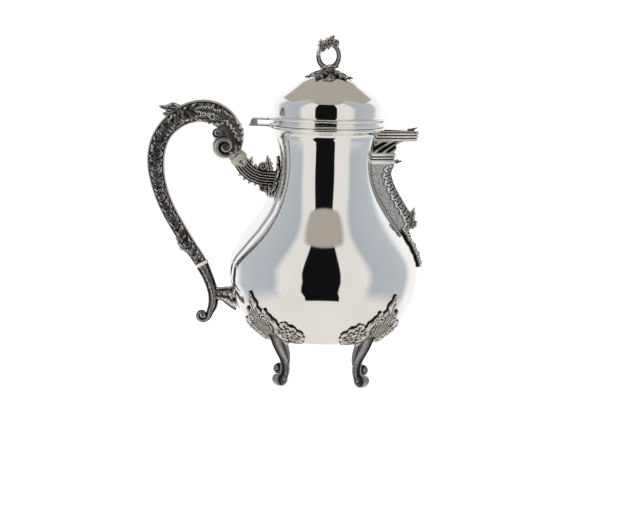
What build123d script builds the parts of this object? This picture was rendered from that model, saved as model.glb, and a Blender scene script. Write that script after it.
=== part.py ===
from build123d import *
import os
from math import cos, pi, radians, sin, sqrt

os.makedirs("parts", exist_ok=True)

# Pear-shaped coffee pot on four scroll feet, with a hinged lid, an applied spout and a scroll handle.
# Frame: Z up, origin on the pot's upright axis at the table, spout towards +X, handle towards -X.

# ---- driving dimensions, mm ----
base_z = 34.0             # underside of the pot above the table
base_r = 30.0             # flat middle of the underside
belly_r = 78.0
belly_z = 94.0
waist_r = 38.4
waist_z = 180.0
neck_r = 42.2             # outside of the straight collar at the top of the neck
neck_z = 203.0
seat_z = 212.0            # top of the neck, where the lid comes down
wall = 1.2
shoulder_power = 0.91     # below 1 the shoulder falls in sooner
neck_power = 1.6

rim_overhang = 6.3        # of the rim moulding beyond the neck
rim_h = 7.5
lid_gap = 0.3             # between the closed lid and the rim
flange_overhang = 1.0     # of the lid's edge beyond the rim
flange_h = 8.5
lid_overhang = 2.1        # of the lid's upright wall beyond the neck
lid_wall_h = 8.5          # upright wall of the lid below its shoulder
crown_z = 254.0
lid_wall = 1.0
bezel_depth = 6.0
bezel_wall = 1.0
bezel_clearance = 0.6     # radial, lets the bezel swing out of the neck

hinge_reach = 11.5        # of the hinge's axis beyond the rim
hinge_rise = 2.3          # of the hinge's axis over the rim
knuckle_r = 2.85
hinge_width = 16.0
middle_knuckle = 7.2
knuckle_gap = 0.3
leaf_thickness = 1.1
pin_r = 1.2
pin_clearance = 0.05

spout_wall = 1.5
garland_rise = 1.1
garland_top = 178.0       # upper end of the leaves along the spout
leaf_pitch = 10.0
drop_flowers = [(120, 7.5), (111.5, 6.5), (104, 5.0), (99, 3.4)]     # height and radius of each
spout_half_width = 12.0
spout_foot_z = 121.0
collar_z = 182.0
flute_z = 190.5
lip_z = 201.0
lip_top_z = 209.3
lip_reach = 76.5
strainer_hole_r = 1.5
strainer_z = 134.0        # lowest row of its holes
strainer_row = 6.0        # between rows
strainer_pitch = 5.5      # between the holes of a row
keel_root = 9.0           # how far the spout's sections run inside the pot's wall
keel_taper = 1.6          # the ridge's wall thickness over the sides'
bulge_reach = 0.55        # where the spout's cheek is fullest, as shares of its depth
bulge_width = 0.62        # and of its half width

grip_thickness = 13.0
handle_clear = 22.7            # of the lower insulator beyond the belly
lower_joint_z = 95.3
upper_joint_in = 28.6          # upper insulator from the lower one, towards the pot and up
upper_joint_up = 88.2
upper_tilt = 49.5              # its axis, degrees below level, towards the pot
upper_disc_r = 7.25
upper_disc_h = 4.5
lower_tilt = 62.0
lower_disc_r = 6.0
lower_disc_h = 2.7
grip_curl_r = 8.6              # of the volute over the upper insulator
crook_r = 4.2                  # of the small curl over the volute
lower_curl_r = 6.2
socket_curl_r = (3.6, 4.4)     # upper and lower scroll of the upper bracket
tenon_r = 3.4
lower_tenon_r = 2.8
tenon_depth = 7.0
cross_pin_r = 0.8
upper_pin_length = 12.0
lower_pin_length = 9.0

foot_thickness = 8.0
foot_scroll_r = 5.6
foot_scroll_in = 6.9      # of the foot's scroll, inwards from its root on the pot
foot_flat = 0.3           # how deep the underside of the scroll is filed flat
solder_gap = 0.03         # seam between the pot's wall and what is soldered to it
mount_rise = 3.2          # relief of the cast cartouches over the pot
drop_rise = 6.0           # relief of the flower drop under the spout
leaf_rise = 4.0           # relief of the leaves under the finial
finial_ring_rise = 15.4   # middle of the ring over the crown
finial_rise = 33.4        # top of the finial over the crown
ring_outside = (10.3, 12.6)
ring_hole = (6.45, 7.2)
ring_thickness = 6.0
crest_size = (7.6, 5.2)
crest_thickness = 7.6
finial_neck_r = 5.0
finial_neck_h = 4.5
stud_r = 2.0
stud_clearance = 0.1
stud_below = 7.5          # of the stud's end under the crown
stud_above = 6.0
washer_r = 5.0
washer_h = 1.2
nut_r = 4.0
nut_h = 3.2

rim_r = neck_r + rim_overhang
flange_r = rim_r + flange_overhang
lid_r = neck_r + lid_overhang
hinge_x = -(rim_r + hinge_reach)
lid_z = seat_z + lid_gap
lower_joint = (-(belly_r + handle_clear), lower_joint_z)
upper_joint = (lower_joint[0] + upper_joint_in, lower_joint_z + upper_joint_up)
flange_top_z = lid_z + flange_h
lid_shoulder_z = flange_top_z + lid_wall_h
hinge_z = seat_z + hinge_rise
finial_ring_z = crown_z + finial_ring_rise
finial_top_z = crown_z + finial_rise
neck_inner_r = neck_r - wall
bezel_r = neck_inner_r - bezel_clearance


# ---- profiles ----
def pot_radius(height):
    """Outer radius of the pot at a height."""
    if height <= belly_z:
        drop = (belly_z - height) / (belly_z - base_z)
        return base_r + (belly_r - base_r) * sqrt(max(0.0, 1 - drop * drop))
    if height <= waist_z:
        rise = ((height - belly_z) / (waist_z - belly_z)) ** shoulder_power
        return waist_r + (belly_r - waist_r) * (1 + cos(pi * rise)) / 2
    if height <= neck_z:
        return waist_r + (neck_r - waist_r) * ((height - waist_z) / (neck_z - waist_z)) ** neck_power
    return neck_r


def pot_section(grow=0.0):
    """Half section of the solid pot, grown outwards all round."""
    shoulder = [belly_z + (waist_z - belly_z) * step / 8 for step in range(9)]
    neck = [waist_z + (neck_z - waist_z) * step / 4 for step in range(5)]
    with BuildSketch(Plane.XZ) as section:
        with BuildLine():
            Line((0, base_z - grow), (base_r, base_z - grow))
            EllipticalCenterArc(
                (base_r, belly_z), belly_r - base_r + grow, belly_z - base_z + grow, start_angle=-90, arc_size=90
            )
            Spline(*[(pot_radius(z) + grow, z) for z in shoulder], tangents=[(0, 1), (0, 1)])
            Spline(*[(pot_radius(z) + grow, z) for z in neck], tangents=[(0, 1), (0.35, 1)])
            Line((neck_r + grow, neck_z), (neck_r + grow, seat_z))
            Line((neck_r + grow, seat_z), (0, seat_z))
            Line((0, seat_z), (0, base_z - grow))
        make_face()
    return section.sketch


def lid_section(grow=0.0):
    """Half section of the solid dome, grown outwards; the ogee's shares are of its radius and its rise."""
    rise = crown_z - lid_shoulder_z
    ogee = [(1.0, 0.0), (0.94, 0.21), (0.78, 0.41), (0.61, 0.60), (0.47, 0.81), (0.26, 0.95), (0.0, 1.0)]
    with BuildSketch(Plane.XZ) as section:
        with BuildLine():
            Line((0, flange_top_z), (lid_r + grow, flange_top_z))
            Line((lid_r + grow, flange_top_z), (lid_r + grow, lid_shoulder_z + grow))
            Spline(
                *[((lid_r + grow) * share, lid_shoulder_z + grow + rise * up) for share, up in ogee],
                tangents=[(0, 1), (-1, 0)],
            )
            Line((0, crown_z + grow), (0, flange_top_z))
        make_face()
    return section.sketch


def bar_sections(stations, thickness, turn=0.0, headings=(None, None)):
    """Oval sections of a curved bar. Stations are (reach, height, depth) in an upright plane turned about Z."""
    outward = Vector(cos(radians(turn)), sin(radians(turn)), 0)
    sideways = Vector(-sin(radians(turn)), cos(radians(turn)), 0)
    points = [outward * reach + Vector(0, 0, height) for reach, height, _ in stations]
    last = len(points) - 1
    sections = []
    for index, station in enumerate(stations):
        heading = points[min(index + 1, last)] - points[max(index - 1, 0)]
        if index == 0 and headings[0]:
            heading = headings[0]
        if index == last and headings[1]:
            heading = headings[1]
        with BuildSketch(Plane(origin=points[index], x_dir=sideways, z_dir=heading)) as section:
            Ellipse(thickness / 2, station[2] / 2)
        sections.append(section.sketch)
    return sections


def scroll_end(center_x, center_z, radius):
    """Round end of a scroll, in the handle's upright plane."""
    with BuildSketch(Plane.XZ) as section:
        with Locations((center_x, center_z)):
            Circle(radius)
    return section.sketch


def keel_section(height, ridge, half_width, back, inset=0.0):
    """Plan section of the spout at a height: square behind, curving to a sharp ridge in front."""
    nose = ridge - keel_taper * inset
    side = half_width - inset
    bulge = (back + (nose - back) * bulge_reach, side * bulge_width)
    with BuildSketch(Plane.XY.offset(height)) as section:
        with BuildLine():
            Line((back, side), (back, -side))
            ThreePointArc((back, -side), (bulge[0], -bulge[1]), (nose, 0))
            ThreePointArc((nose, 0), bulge, (back, side))
        make_face()
    return section.sketch


def keel(levels, inset=0.0):
    """The spout's plan sections; levels are (height, how far the ridge stands off the pot)."""
    sections = []
    for height, stand_off in levels:
        surface = pot_radius(height)
        sections.append(keel_section(height, surface + stand_off, spout_half_width, surface - keel_root, inset))
    return sections


# ---- blanks that other pieces are cut to ----
with BuildPart() as pot_blank:
    revolve(pot_section(), axis=Axis.Z)

with BuildPart() as seat_blank:
    revolve(pot_section(solder_gap), axis=Axis.Z)

with BuildPart() as relief_blank:
    revolve(pot_section(mount_rise), axis=Axis.Z)

with BuildPart() as drop_blank:
    revolve(pot_section(drop_rise), axis=Axis.Z)

with BuildPart() as lid_blank:
    revolve(lid_section(), axis=Axis.Z)

with BuildPart() as leaf_blank:
    revolve(lid_section(leaf_rise), axis=Axis.Z)

# ---- pot ----
with BuildPart() as body_shell:
    revolve(pot_section(), axis=Axis.Z)
    revolve(pot_section(-wall), axis=Axis.Z, mode=Mode.SUBTRACT)
    # strainer behind the spout
    with BuildSketch(Plane.YZ.offset(waist_r / 2)):
        for row in range(4):
            with Locations((0, strainer_z + strainer_row * row)):
                with GridLocations(strainer_pitch, 1, 2 + row % 2, 1):
                    Circle(strainer_hole_r)
    extrude(amount=belly_r, mode=Mode.SUBTRACT)
    split(bisect_by=Plane.XY.offset(waist_z), keep=Keep.BOTTOM)
body_shell.part.label = "body_shell"

with BuildPart() as neck_shell:
    revolve(pot_section(), axis=Axis.Z)
    revolve(pot_section(-wall), axis=Axis.Z, mode=Mode.SUBTRACT)
    split(bisect_by=Plane.XY.offset(waist_z), keep=Keep.TOP)
neck_shell.part.label = "neck_shell"

with BuildPart() as rim_moulding:
    with BuildSketch(Plane.XZ):
        with BuildLine():
            Line((neck_r, seat_z - rim_h), (neck_r + 0.8, seat_z - rim_h))
            ThreePointArc(
                (neck_r + 0.8, seat_z - rim_h), (neck_r + 2.0, seat_z - rim_h + 3.0), (rim_r - 1.4, seat_z - 3.0)
            )
            ThreePointArc((rim_r - 1.4, seat_z - 3.0), (rim_r, seat_z - 1.6), (rim_r - 0.6, seat_z))
            Line((rim_r - 0.6, seat_z), (neck_r, seat_z))
            Line((neck_r, seat_z), (neck_r, seat_z - rim_h))
        make_face()
    revolve(axis=Axis.Z)
rim_moulding.part.label = "rim_moulding"

# ---- lid ----
with BuildPart() as finial_stud:
    with BuildSketch(Plane.XY.offset(crown_z - stud_below)):
        Circle(stud_r)
    extrude(amount=stud_below + stud_above)
finial_stud.part.label = "finial_stud"

with BuildPart() as lid_dome:
    revolve(lid_section(), axis=Axis.Z)
    revolve(lid_section(-lid_wall), axis=Axis.Z, mode=Mode.SUBTRACT)
    with BuildSketch(Plane.XY.offset(crown_z - 5)):
        Circle(stud_r + stud_clearance)
    extrude(amount=8, mode=Mode.SUBTRACT)
lid_dome.part.label = "lid_dome"

with BuildPart() as lid_flange:
    with BuildSketch(Plane.XZ):
        with BuildLine():
            Line((bezel_r, lid_z), (rim_r - 2.0, lid_z))
            ThreePointArc((rim_r - 2.0, lid_z), (rim_r - 3.6, lid_z + 1.8), (rim_r - 2.4, lid_z + 3.4))
            Line((rim_r - 2.4, lid_z + 3.4), (flange_r - 1.0, lid_z + 4.4))
            ThreePointArc((flange_r - 1.0, lid_z + 4.4), (flange_r, lid_z + 6.0), (flange_r - 1.4, lid_z + 7.4))
            Line((flange_r - 1.4, lid_z + 7.4), (lid_r + 0.6, flange_top_z))
            Line((lid_r + 0.6, flange_top_z), (bezel_r, flange_top_z))
            Line((bezel_r, flange_top_z), (bezel_r, lid_z))
        make_face()
    revolve(axis=Axis.Z)
lid_flange.part.label = "lid_flange"

with BuildPart() as lid_bezel:
    with BuildSketch(Plane.XY.offset(lid_z - bezel_depth)):
        Circle(bezel_r)
        Circle(bezel_r - bezel_wall, mode=Mode.SUBTRACT)
    extrude(amount=bezel_depth + flange_h - 1.0)
lid_bezel.part.label = "lid_bezel"

with BuildPart() as finial_leaf_base:
    with BuildSketch(Plane.XY.offset(lid_shoulder_z)):
        Circle(13.0)
        with PolarLocations(14.0, 8):
            Ellipse(6.6, 4.2)
    extrude(amount=crown_z - lid_shoulder_z + 8.0)
    add(leaf_blank.part, mode=Mode.INTERSECT)
    add(lid_blank.part, mode=Mode.SUBTRACT)
    with BuildSketch(Plane.XY.offset(crown_z - 2)):
        Circle(stud_r + stud_clearance)
    extrude(amount=12, mode=Mode.SUBTRACT)
finial_leaf_base.part.label = "finial_leaf_base"

with BuildPart() as finial_ring:
    with BuildSketch(Plane.XZ):
        with Locations((0, finial_ring_z)):
            Ellipse(*ring_outside)
            Ellipse(*ring_hole, mode=Mode.SUBTRACT)
    extrude(amount=ring_thickness / 2, both=True)
    with BuildSketch(Plane.XZ):
        with Locations((0.8, finial_top_z - crest_size[1])):
            Ellipse(*crest_size)
        with Locations((0, finial_ring_z)):
            Ellipse(*ring_hole, mode=Mode.SUBTRACT)
    extrude(amount=crest_thickness / 2, both=True)
    with BuildSketch(Plane.XY.offset(crown_z + leaf_rise / 2)):
        Circle(finial_neck_r)
    extrude(amount=finial_neck_h)
    add(leaf_blank.part, mode=Mode.SUBTRACT)
    add(finial_stud.part, mode=Mode.SUBTRACT)
finial_ring.part.label = "finial_ring"

with BuildPart() as finial_washer:
    with BuildSketch(Plane.XY.offset(crown_z - lid_wall - washer_h)):
        Circle(washer_r)
        Circle(stud_r + stud_clearance, mode=Mode.SUBTRACT)
    extrude(amount=washer_h)
    add(lid_dome.part, mode=Mode.SUBTRACT)
finial_washer.part.label = "finial_washer"

with BuildPart() as finial_nut:
    with BuildSketch(Plane.XY.offset(crown_z - lid_wall - washer_h - nut_h)):
        RegularPolygon(nut_r, 6)
        Circle(stud_r, mode=Mode.SUBTRACT)
    extrude(amount=nut_h)
finial_nut.part.label = "finial_nut"

# ---- hinge ----
notch = middle_knuckle + 2 * knuckle_gap
plate_end = hinge_x + knuckle_r + 2 * knuckle_gap     # plates stop here beside the other leaf's knuckle
ear = (hinge_width - notch) / 2
axle = Plane(origin=(hinge_x, 0, hinge_z), x_dir=(1, 0, 0), z_dir=(0, 1, 0))

with BuildPart() as hinge_pin:
    with BuildSketch(axle):
        Circle(pin_r)
    extrude(amount=hinge_width / 2, both=True)
hinge_pin.part.label = "hinge_pin"

with BuildPart() as hinge_body_leaf:
    with BuildSketch(Plane.XY.offset(seat_z)):
        with Locations(((plate_end - neck_r) / 2, 0)):
            Rectangle(-neck_r - plate_end, hinge_width)
        for side in (-1, 1):
            with Locations((hinge_x, side * (notch + ear) / 2)):
                Rectangle(2 * knuckle_r + 2, ear)
    extrude(amount=-leaf_thickness)
    for side in (-1, 1):
        with BuildSketch(axle.offset(side * (notch + ear) / 2)):
            Circle(knuckle_r)
            with Locations((0, (hinge_z - seat_z + leaf_thickness) / 2)):
                Rectangle(2 * knuckle_r, hinge_z - seat_z + leaf_thickness)
        extrude(amount=ear / 2, both=True)
    add(rim_moulding.part, mode=Mode.SUBTRACT)
    add(seat_blank.part, mode=Mode.SUBTRACT)
    with BuildSketch(axle):
        Circle(pin_r)
    extrude(amount=hinge_width, both=True, mode=Mode.SUBTRACT)
hinge_body_leaf.part.label = "hinge_body_leaf"

with BuildPart() as hinge_lid_leaf:
    with BuildSketch(Plane.XY.offset(hinge_z + knuckle_r)):
        with Locations(((plate_end - lid_r) / 2, 0)):
            Rectangle(-lid_r - plate_end, hinge_width)
        with Locations(((hinge_x + plate_end) / 2, 0)):
            Rectangle(plate_end - hinge_x, middle_knuckle)
    extrude(amount=-leaf_thickness)
    with BuildSketch(axle):
        Circle(knuckle_r)
    extrude(amount=middle_knuckle / 2, both=True)
    add(lid_flange.part, mode=Mode.SUBTRACT)
    with BuildSketch(axle):
        Circle(pin_r + pin_clearance)
    extrude(amount=hinge_width, both=True, mode=Mode.SUBTRACT)
hinge_lid_leaf.part.label = "hinge_lid_leaf"

# ---- spout ----
sheath_levels = [
    (spout_foot_z, 0.5),
    (spout_foot_z + 7, 8.5),
    (spout_foot_z + 13, 15.0),
    (spout_foot_z + 21, 17.0),
    (spout_foot_z + 33, 16.5),
    (collar_z - 17, 15.0),
    (collar_z - 8, 14.2),
    (collar_z, 17.8),
]
collar_levels = [(collar_z, 18.6), (flute_z, 18.0)]
flute_levels = [(flute_z, 17.2), ((flute_z + lip_z) / 2, 18.6), (lip_z, 22.0)]
lip_levels = [(lip_z, lip_reach - 2.4 - pot_radius(lip_z)), (lip_top_z, lip_reach - pot_radius(lip_top_z))]

with BuildPart() as sheath_blank:
    loft(keel(sheath_levels))

with BuildPart() as garland_blank:
    loft(keel(sheath_levels, inset=-garland_rise))

spout_pieces = {}
for piece_name, levels in (
    ("spout_shell", sheath_levels),
    ("spout_collar", collar_levels),
    ("spout_fluted_band", flute_levels),
    ("spout_lip", lip_levels),
):
    with BuildPart() as piece:
        loft(keel(levels))
        loft(keel(levels[1:] if piece_name == "spout_shell" else levels, spout_wall), mode=Mode.SUBTRACT)
        add(seat_blank.part, mode=Mode.SUBTRACT)
        add(rim_moulding.part, mode=Mode.SUBTRACT)
    piece.part.label = piece_name
    spout_pieces[piece_name] = piece.part

with BuildPart() as garland_outline:
    with BuildSketch(Plane.XZ):
        with BuildLine():
            leaf_tips = []
            for leaf in range(5):
                hollow_z = garland_top - 2 - leaf_pitch * leaf
                tip_z = hollow_z - 4
                leaf_tips.append((pot_radius(hollow_z) + 5.5, hollow_z))
                leaf_tips.append((pot_radius(tip_z) + 9.0, tip_z))
            Polyline(
                *leaf_tips,
                (belly_r + 12, tip_z - 1),
                (belly_r + 12, garland_top),
                (pot_radius(garland_top) + 8, garland_top),
                close=True,
            )
        make_face()
    extrude(amount=spout_half_width + 4, both=True)

for side, garland_name in ((-1, "spout_garland_front"), (1, "spout_garland_rear")):
    with BuildPart() as garland:
        add(garland_blank.part)
        add(garland_outline.part, mode=Mode.INTERSECT)
        add(sheath_blank.part, mode=Mode.SUBTRACT)
        add(seat_blank.part, mode=Mode.SUBTRACT)
        split(bisect_by=Plane.XZ.offset(-side * 0.2), keep=Keep.BOTTOM if side > 0 else Keep.TOP)
    garland.part.label = garland_name
    spout_pieces[garland_name] = garland.part

with BuildPart() as spout_flower_drop:
    with BuildSketch(Plane.YZ.offset(belly_r / 2)):
        for height, radius in drop_flowers:
            with Locations((0, height)):
                Circle(radius)
    extrude(amount=belly_r)
    add(drop_blank.part, mode=Mode.INTERSECT)
    add(seat_blank.part, mode=Mode.SUBTRACT)
    add(sheath_blank.part, mode=Mode.SUBTRACT)
spout_flower_drop.part.label = "spout_flower_drop"


# ---- handle ----
def joint_axis(tilt):
    """Direction along an insulator's axis, down towards the pot."""
    return Vector(cos(radians(tilt)), 0, -sin(radians(tilt)))


def joint_plane(joint, tilt, shift=0.0):
    """Plane square to an insulator's axis, moved along it from its middle."""
    middle = Vector(joint[0], 0, joint[1]) + joint_axis(tilt) * shift
    return Plane(origin=middle, x_dir=(0, 1, 0), z_dir=joint_axis(tilt))


upper_axis = joint_axis(upper_tilt)
lower_axis = joint_axis(lower_tilt)
pin_inset = tenon_depth / 2

with BuildPart() as handle_pins:
    for joint, tilt, disc_h, length in (
        (upper_joint, upper_tilt, upper_disc_h, upper_pin_length),
        (lower_joint, lower_tilt, lower_disc_h, lower_pin_length),
    ):
        for way in (-1, 1):
            spot = Vector(joint[0], 0, joint[1]) + joint_axis(tilt) * way * (disc_h / 2 + pin_inset)
            with BuildSketch(Plane(origin=spot, x_dir=(1, 0, 0), z_dir=(0, 1, 0))):
                Circle(cross_pin_r)
            extrude(amount=length / 2, both=True)
handle_pins.part.label = "handle_pins"

with BuildPart() as handle_upper_insulator:
    with BuildSketch(joint_plane(upper_joint, upper_tilt)):
        Circle(upper_disc_r)
    extrude(amount=upper_disc_h / 2, both=True)
    with BuildSketch(joint_plane(upper_joint, upper_tilt)):
        Circle(tenon_r)
    extrude(amount=upper_disc_h / 2 + tenon_depth, both=True)
    add(handle_pins.part, mode=Mode.SUBTRACT)
handle_upper_insulator.part.label = "handle_upper_insulator"

with BuildPart() as handle_lower_insulator:
    with BuildSketch(joint_plane(lower_joint, lower_tilt)):
        Circle(lower_disc_r)
    extrude(amount=lower_disc_h / 2, both=True)
    with BuildSketch(joint_plane(lower_joint, lower_tilt)):
        Circle(lower_tenon_r)
    extrude(amount=lower_disc_h / 2 + tenon_depth, both=True)
    add(handle_pins.part, mode=Mode.SUBTRACT)
handle_lower_insulator.part.label = "handle_lower_insulator"

grip_foot = Vector(lower_joint[0], 0, lower_joint[1]) - lower_axis * lower_disc_h / 2
lower_x, lower_z = lower_joint
upper_x, upper_z = upper_joint
grip_stations = [
    (lower_x + 22.9, lower_z + 93.2, 13.0),
    (lower_x + 24.1, lower_z + 102.7, 16.5),
    (lower_x + 22.1, lower_z + 111.7, 17.5),
    (lower_x + 15.7, lower_z + 120.2, 18.0),
    (lower_x + 6.2, lower_z + 125.5, 18.2),
    (lower_x - 4.8, lower_z + 126.5, 18.0),
    (lower_x - 16.3, lower_z + 123.3, 17.0),
    (lower_x - 26.8, lower_z + 116.2, 15.8),
    (lower_x - 34.3, lower_z + 106.7, 15.2),
    (lower_x - 38.5, lower_z + 95.2, 15.0),
    (lower_x - 39.5, lower_z + 82.2, 14.5),
    (lower_x - 37.5, lower_z + 68.7, 13.0),
    (lower_x - 33.5, lower_z + 55.7, 12.3),
    (lower_x - 27.5, lower_z + 42.7, 12.0),
    (lower_x - 19.8, lower_z + 29.5, 11.6),
    (lower_x - 11.3, lower_z + 16.7, 11.2),
    (lower_x - 4.5, lower_z + 7.1, 11.0),
    (grip_foot.X, grip_foot.Z, 2 * lower_disc_r - 1.0),
]
with BuildPart() as handle_grip:
    loft(bar_sections(grip_stations, grip_thickness, headings=(Vector(0.05, 0, 1), lower_axis)))
    extrude(scroll_end(upper_x - 12.3, upper_z + 7.1, grip_curl_r), amount=grip_thickness / 2, both=True)
    extrude(scroll_end(upper_x - 17.5, upper_z + 18.9, crook_r), amount=(grip_thickness - 3) / 2, both=True)
    with BuildSketch(joint_plane(upper_joint, upper_tilt, -upper_disc_h / 2)):
        Circle(upper_disc_r - 0.6)
    extrude(amount=-9.5)
    add(handle_upper_insulator.part, mode=Mode.SUBTRACT)
    add(handle_lower_insulator.part, mode=Mode.SUBTRACT)
    add(handle_pins.part, mode=Mode.SUBTRACT)
handle_grip.part.label = "handle_grip"

scroll_top = Vector(lower_joint[0], 0, lower_joint[1]) + lower_axis * lower_disc_h / 2
lower_scroll_stations = [
    (scroll_top.X, scroll_top.Z, 2 * lower_disc_r - 1.0),
    (lower_x + 4.5, lower_z - 8.5, 9.2),
    (lower_x + 8.3, lower_z - 17.3, 8.6),
    (lower_x + 10.5, lower_z - 26.8, 9.2),
    (lower_x + 9.1, lower_z - 35.8, 9.0),
    (lower_x + 4.2, lower_z - 41.8, 8.0),
]
with BuildPart() as handle_lower_scroll:
    loft(bar_sections(lower_scroll_stations, 9.6, headings=(lower_axis, Vector(-0.9, 0, -0.45))))
    extrude(scroll_end(lower_x + 1.9, lower_z - 42.9, lower_curl_r), amount=5.25, both=True)
    add(handle_lower_insulator.part, mode=Mode.SUBTRACT)
    add(handle_pins.part, mode=Mode.SUBTRACT)
handle_lower_scroll.part.label = "handle_lower_scroll"

arm_sections = [
    (lower_x + 10.7, lower_z - 24.8, 5.0, 5.6),
    (-belly_r - 3.0, lower_z - 24.8, 6.0, 6.4),
    (-belly_r + 12.0, lower_z - 28.3, 10.0, 11.0),
]
with BuildPart() as handle_lower_socket:
    for reach, height, half_y, half_z in arm_sections:
        with BuildSketch(Plane(origin=(reach, 0, height), x_dir=(0, 1, 0), z_dir=(1, 0, 0))):
            Ellipse(half_y, half_z)
    loft()
    add(handle_lower_scroll.part, mode=Mode.SUBTRACT)
    add(seat_blank.part, mode=Mode.SUBTRACT)
handle_lower_socket.part.label = "handle_lower_socket"

bracket_z = upper_z - 15.9     # where the upper bracket meets the neck
cup_face = Vector(upper_joint[0], 0, upper_joint[1]) + upper_axis * upper_disc_h / 2
with BuildPart() as socket_plate:
    with BuildSketch(Plane.YZ.offset(-waist_r / 2)):
        with Locations((0, bracket_z + 2.4)):
            Ellipse(9.0, 17.0)
        with Locations((0, bracket_z - 6.6)):
            Ellipse(14.0, 6.0)
    extrude(amount=-belly_r)
    add(relief_blank.part, mode=Mode.INTERSECT)

upper_socket_stations = [
    (cup_face.X, cup_face.Z, 2 * upper_disc_r - 1.2),
    (upper_x + 6.3, upper_z - 7.9, 12.6),
    (upper_x + 13.1, upper_z - 13.3, 12.0),
    (upper_x + 21.6, bracket_z, 12.0),
    (-waist_r - 1.6, bracket_z, 13.5),
    (-waist_r + 8.4, bracket_z, 14.0),
]
with BuildPart() as handle_upper_socket:
    loft(bar_sections(upper_socket_stations, 12.0, headings=(upper_axis, Vector(1, 0, 0))))
    extrude(scroll_end(-waist_r - 10.4, bracket_z + 11.0, socket_curl_r[0]), amount=3.5, both=True)
    with BuildSketch(Plane.XZ):
        with Locations((-waist_r - 8.1, bracket_z + 5.9)):
            Rectangle(5.0, 9.0)
    extrude(amount=3.5, both=True)
    extrude(scroll_end(-waist_r - 12.6, bracket_z - 8.8, socket_curl_r[1]), amount=3.5, both=True)
    add(socket_plate.part)
    add(seat_blank.part, mode=Mode.SUBTRACT)
    add(handle_upper_insulator.part, mode=Mode.SUBTRACT)
    add(handle_pins.part, mode=Mode.SUBTRACT)
handle_upper_socket.part.label = "handle_upper_socket"

# ---- feet and their cartouches ----
corners = {"front_left": 225, "front_right": 315, "rear_left": 135, "rear_right": 45}
foot_root = pot_radius(base_z + 8.0)
foot_scroll_reach = foot_root - foot_scroll_in
foot_stations = [
    (foot_root + 2.1, base_z + 12.0, 17.0),
    (foot_root - 1.4, base_z + 2.0, 16.0),
    (foot_root - 5.3, base_z - 6.0, 11.5),
    (foot_root - 10.1, base_z - 11.5, 8.4),
    (foot_root - 12.9, base_z - 17.0, 7.2),
    (foot_root - 12.7, base_z - 22.0, 7.0),
    (foot_scroll_reach - 3.2, foot_scroll_r + 3.6, 7.0),
]
cartouche_half = [(5, 68), (9, 61), (14, 55.5), (20, 54.5), (26, 50.5), (27, 44), (23, 38), (15, 34), (8, 30)]
foot_parts = {}
for corner, turn in corners.items():
    outward = Vector(cos(radians(turn)), sin(radians(turn)), 0)
    sideways = Vector(-sin(radians(turn)), cos(radians(turn)), 0)
    with BuildPart() as foot:
        loft(bar_sections(foot_stations, foot_thickness, turn))
        with BuildSketch(Plane(origin=(0, 0, foot_scroll_r - foot_flat), x_dir=outward, z_dir=sideways)):
            with Locations((foot_scroll_reach, 0)):
                Circle(foot_scroll_r)
        extrude(amount=(foot_thickness + 2) / 2, both=True)
        split(bisect_by=Plane.XY, keep=Keep.TOP)
        add(seat_blank.part, mode=Mode.SUBTRACT)
    foot.part.label = "foot_" + corner
    foot_parts[foot.part.label] = foot.part

    with BuildPart() as cartouche:
        with BuildSketch(Plane(origin=outward * base_r, x_dir=sideways, z_dir=outward)):
            with BuildLine():
                left_half = [(-across, up) for across, up in reversed(cartouche_half)]
                Polyline((0, 76), *cartouche_half, (0, 28), *left_half, close=True)
            make_face()
        extrude(amount=belly_r)
        add(relief_blank.part, mode=Mode.INTERSECT)
        add(seat_blank.part, mode=Mode.SUBTRACT)
        add(foot_parts["foot_" + corner], mode=Mode.SUBTRACT)
        if turn in (135, 225):
            add(handle_lower_socket.part, mode=Mode.SUBTRACT)
    cartouche.part.label = "mount_" + corner
    foot_parts[cartouche.part.label] = cartouche.part

# ---- one file for each piece ----
export_step(body_shell.part, "parts/body_shell.step")
export_step(neck_shell.part, "parts/neck_shell.step")
export_step(rim_moulding.part, "parts/rim_moulding.step")
export_step(lid_dome.part, "parts/lid_dome.step")
export_step(lid_flange.part, "parts/lid_flange.step")
export_step(lid_bezel.part, "parts/lid_bezel.step")
export_step(finial_leaf_base.part, "parts/finial_leaf_base.step")
export_step(finial_ring.part, "parts/finial_ring.step")
export_step(finial_stud.part, "parts/finial_stud.step")
export_step(finial_washer.part, "parts/finial_washer.step")
export_step(finial_nut.part, "parts/finial_nut.step")
export_step(hinge_pin.part, "parts/hinge_pin.step")
export_step(hinge_body_leaf.part, "parts/hinge_body_leaf.step")
export_step(hinge_lid_leaf.part, "parts/hinge_lid_leaf.step")
export_step(spout_flower_drop.part, "parts/spout_flower_drop.step")
export_step(handle_pins.part, "parts/handle_pins.step")
export_step(handle_upper_insulator.part, "parts/handle_upper_insulator.step")
export_step(handle_lower_insulator.part, "parts/handle_lower_insulator.step")
export_step(handle_grip.part, "parts/handle_grip.step")
export_step(handle_lower_scroll.part, "parts/handle_lower_scroll.step")
export_step(handle_lower_socket.part, "parts/handle_lower_socket.step")
export_step(handle_upper_socket.part, "parts/handle_upper_socket.step")
for node_name, solid in {**spout_pieces, **foot_parts}.items():
    export_step(solid, f"parts/{node_name}.step")
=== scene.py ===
import math

import bpy
from mathutils import Matrix, Vector, noise


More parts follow.
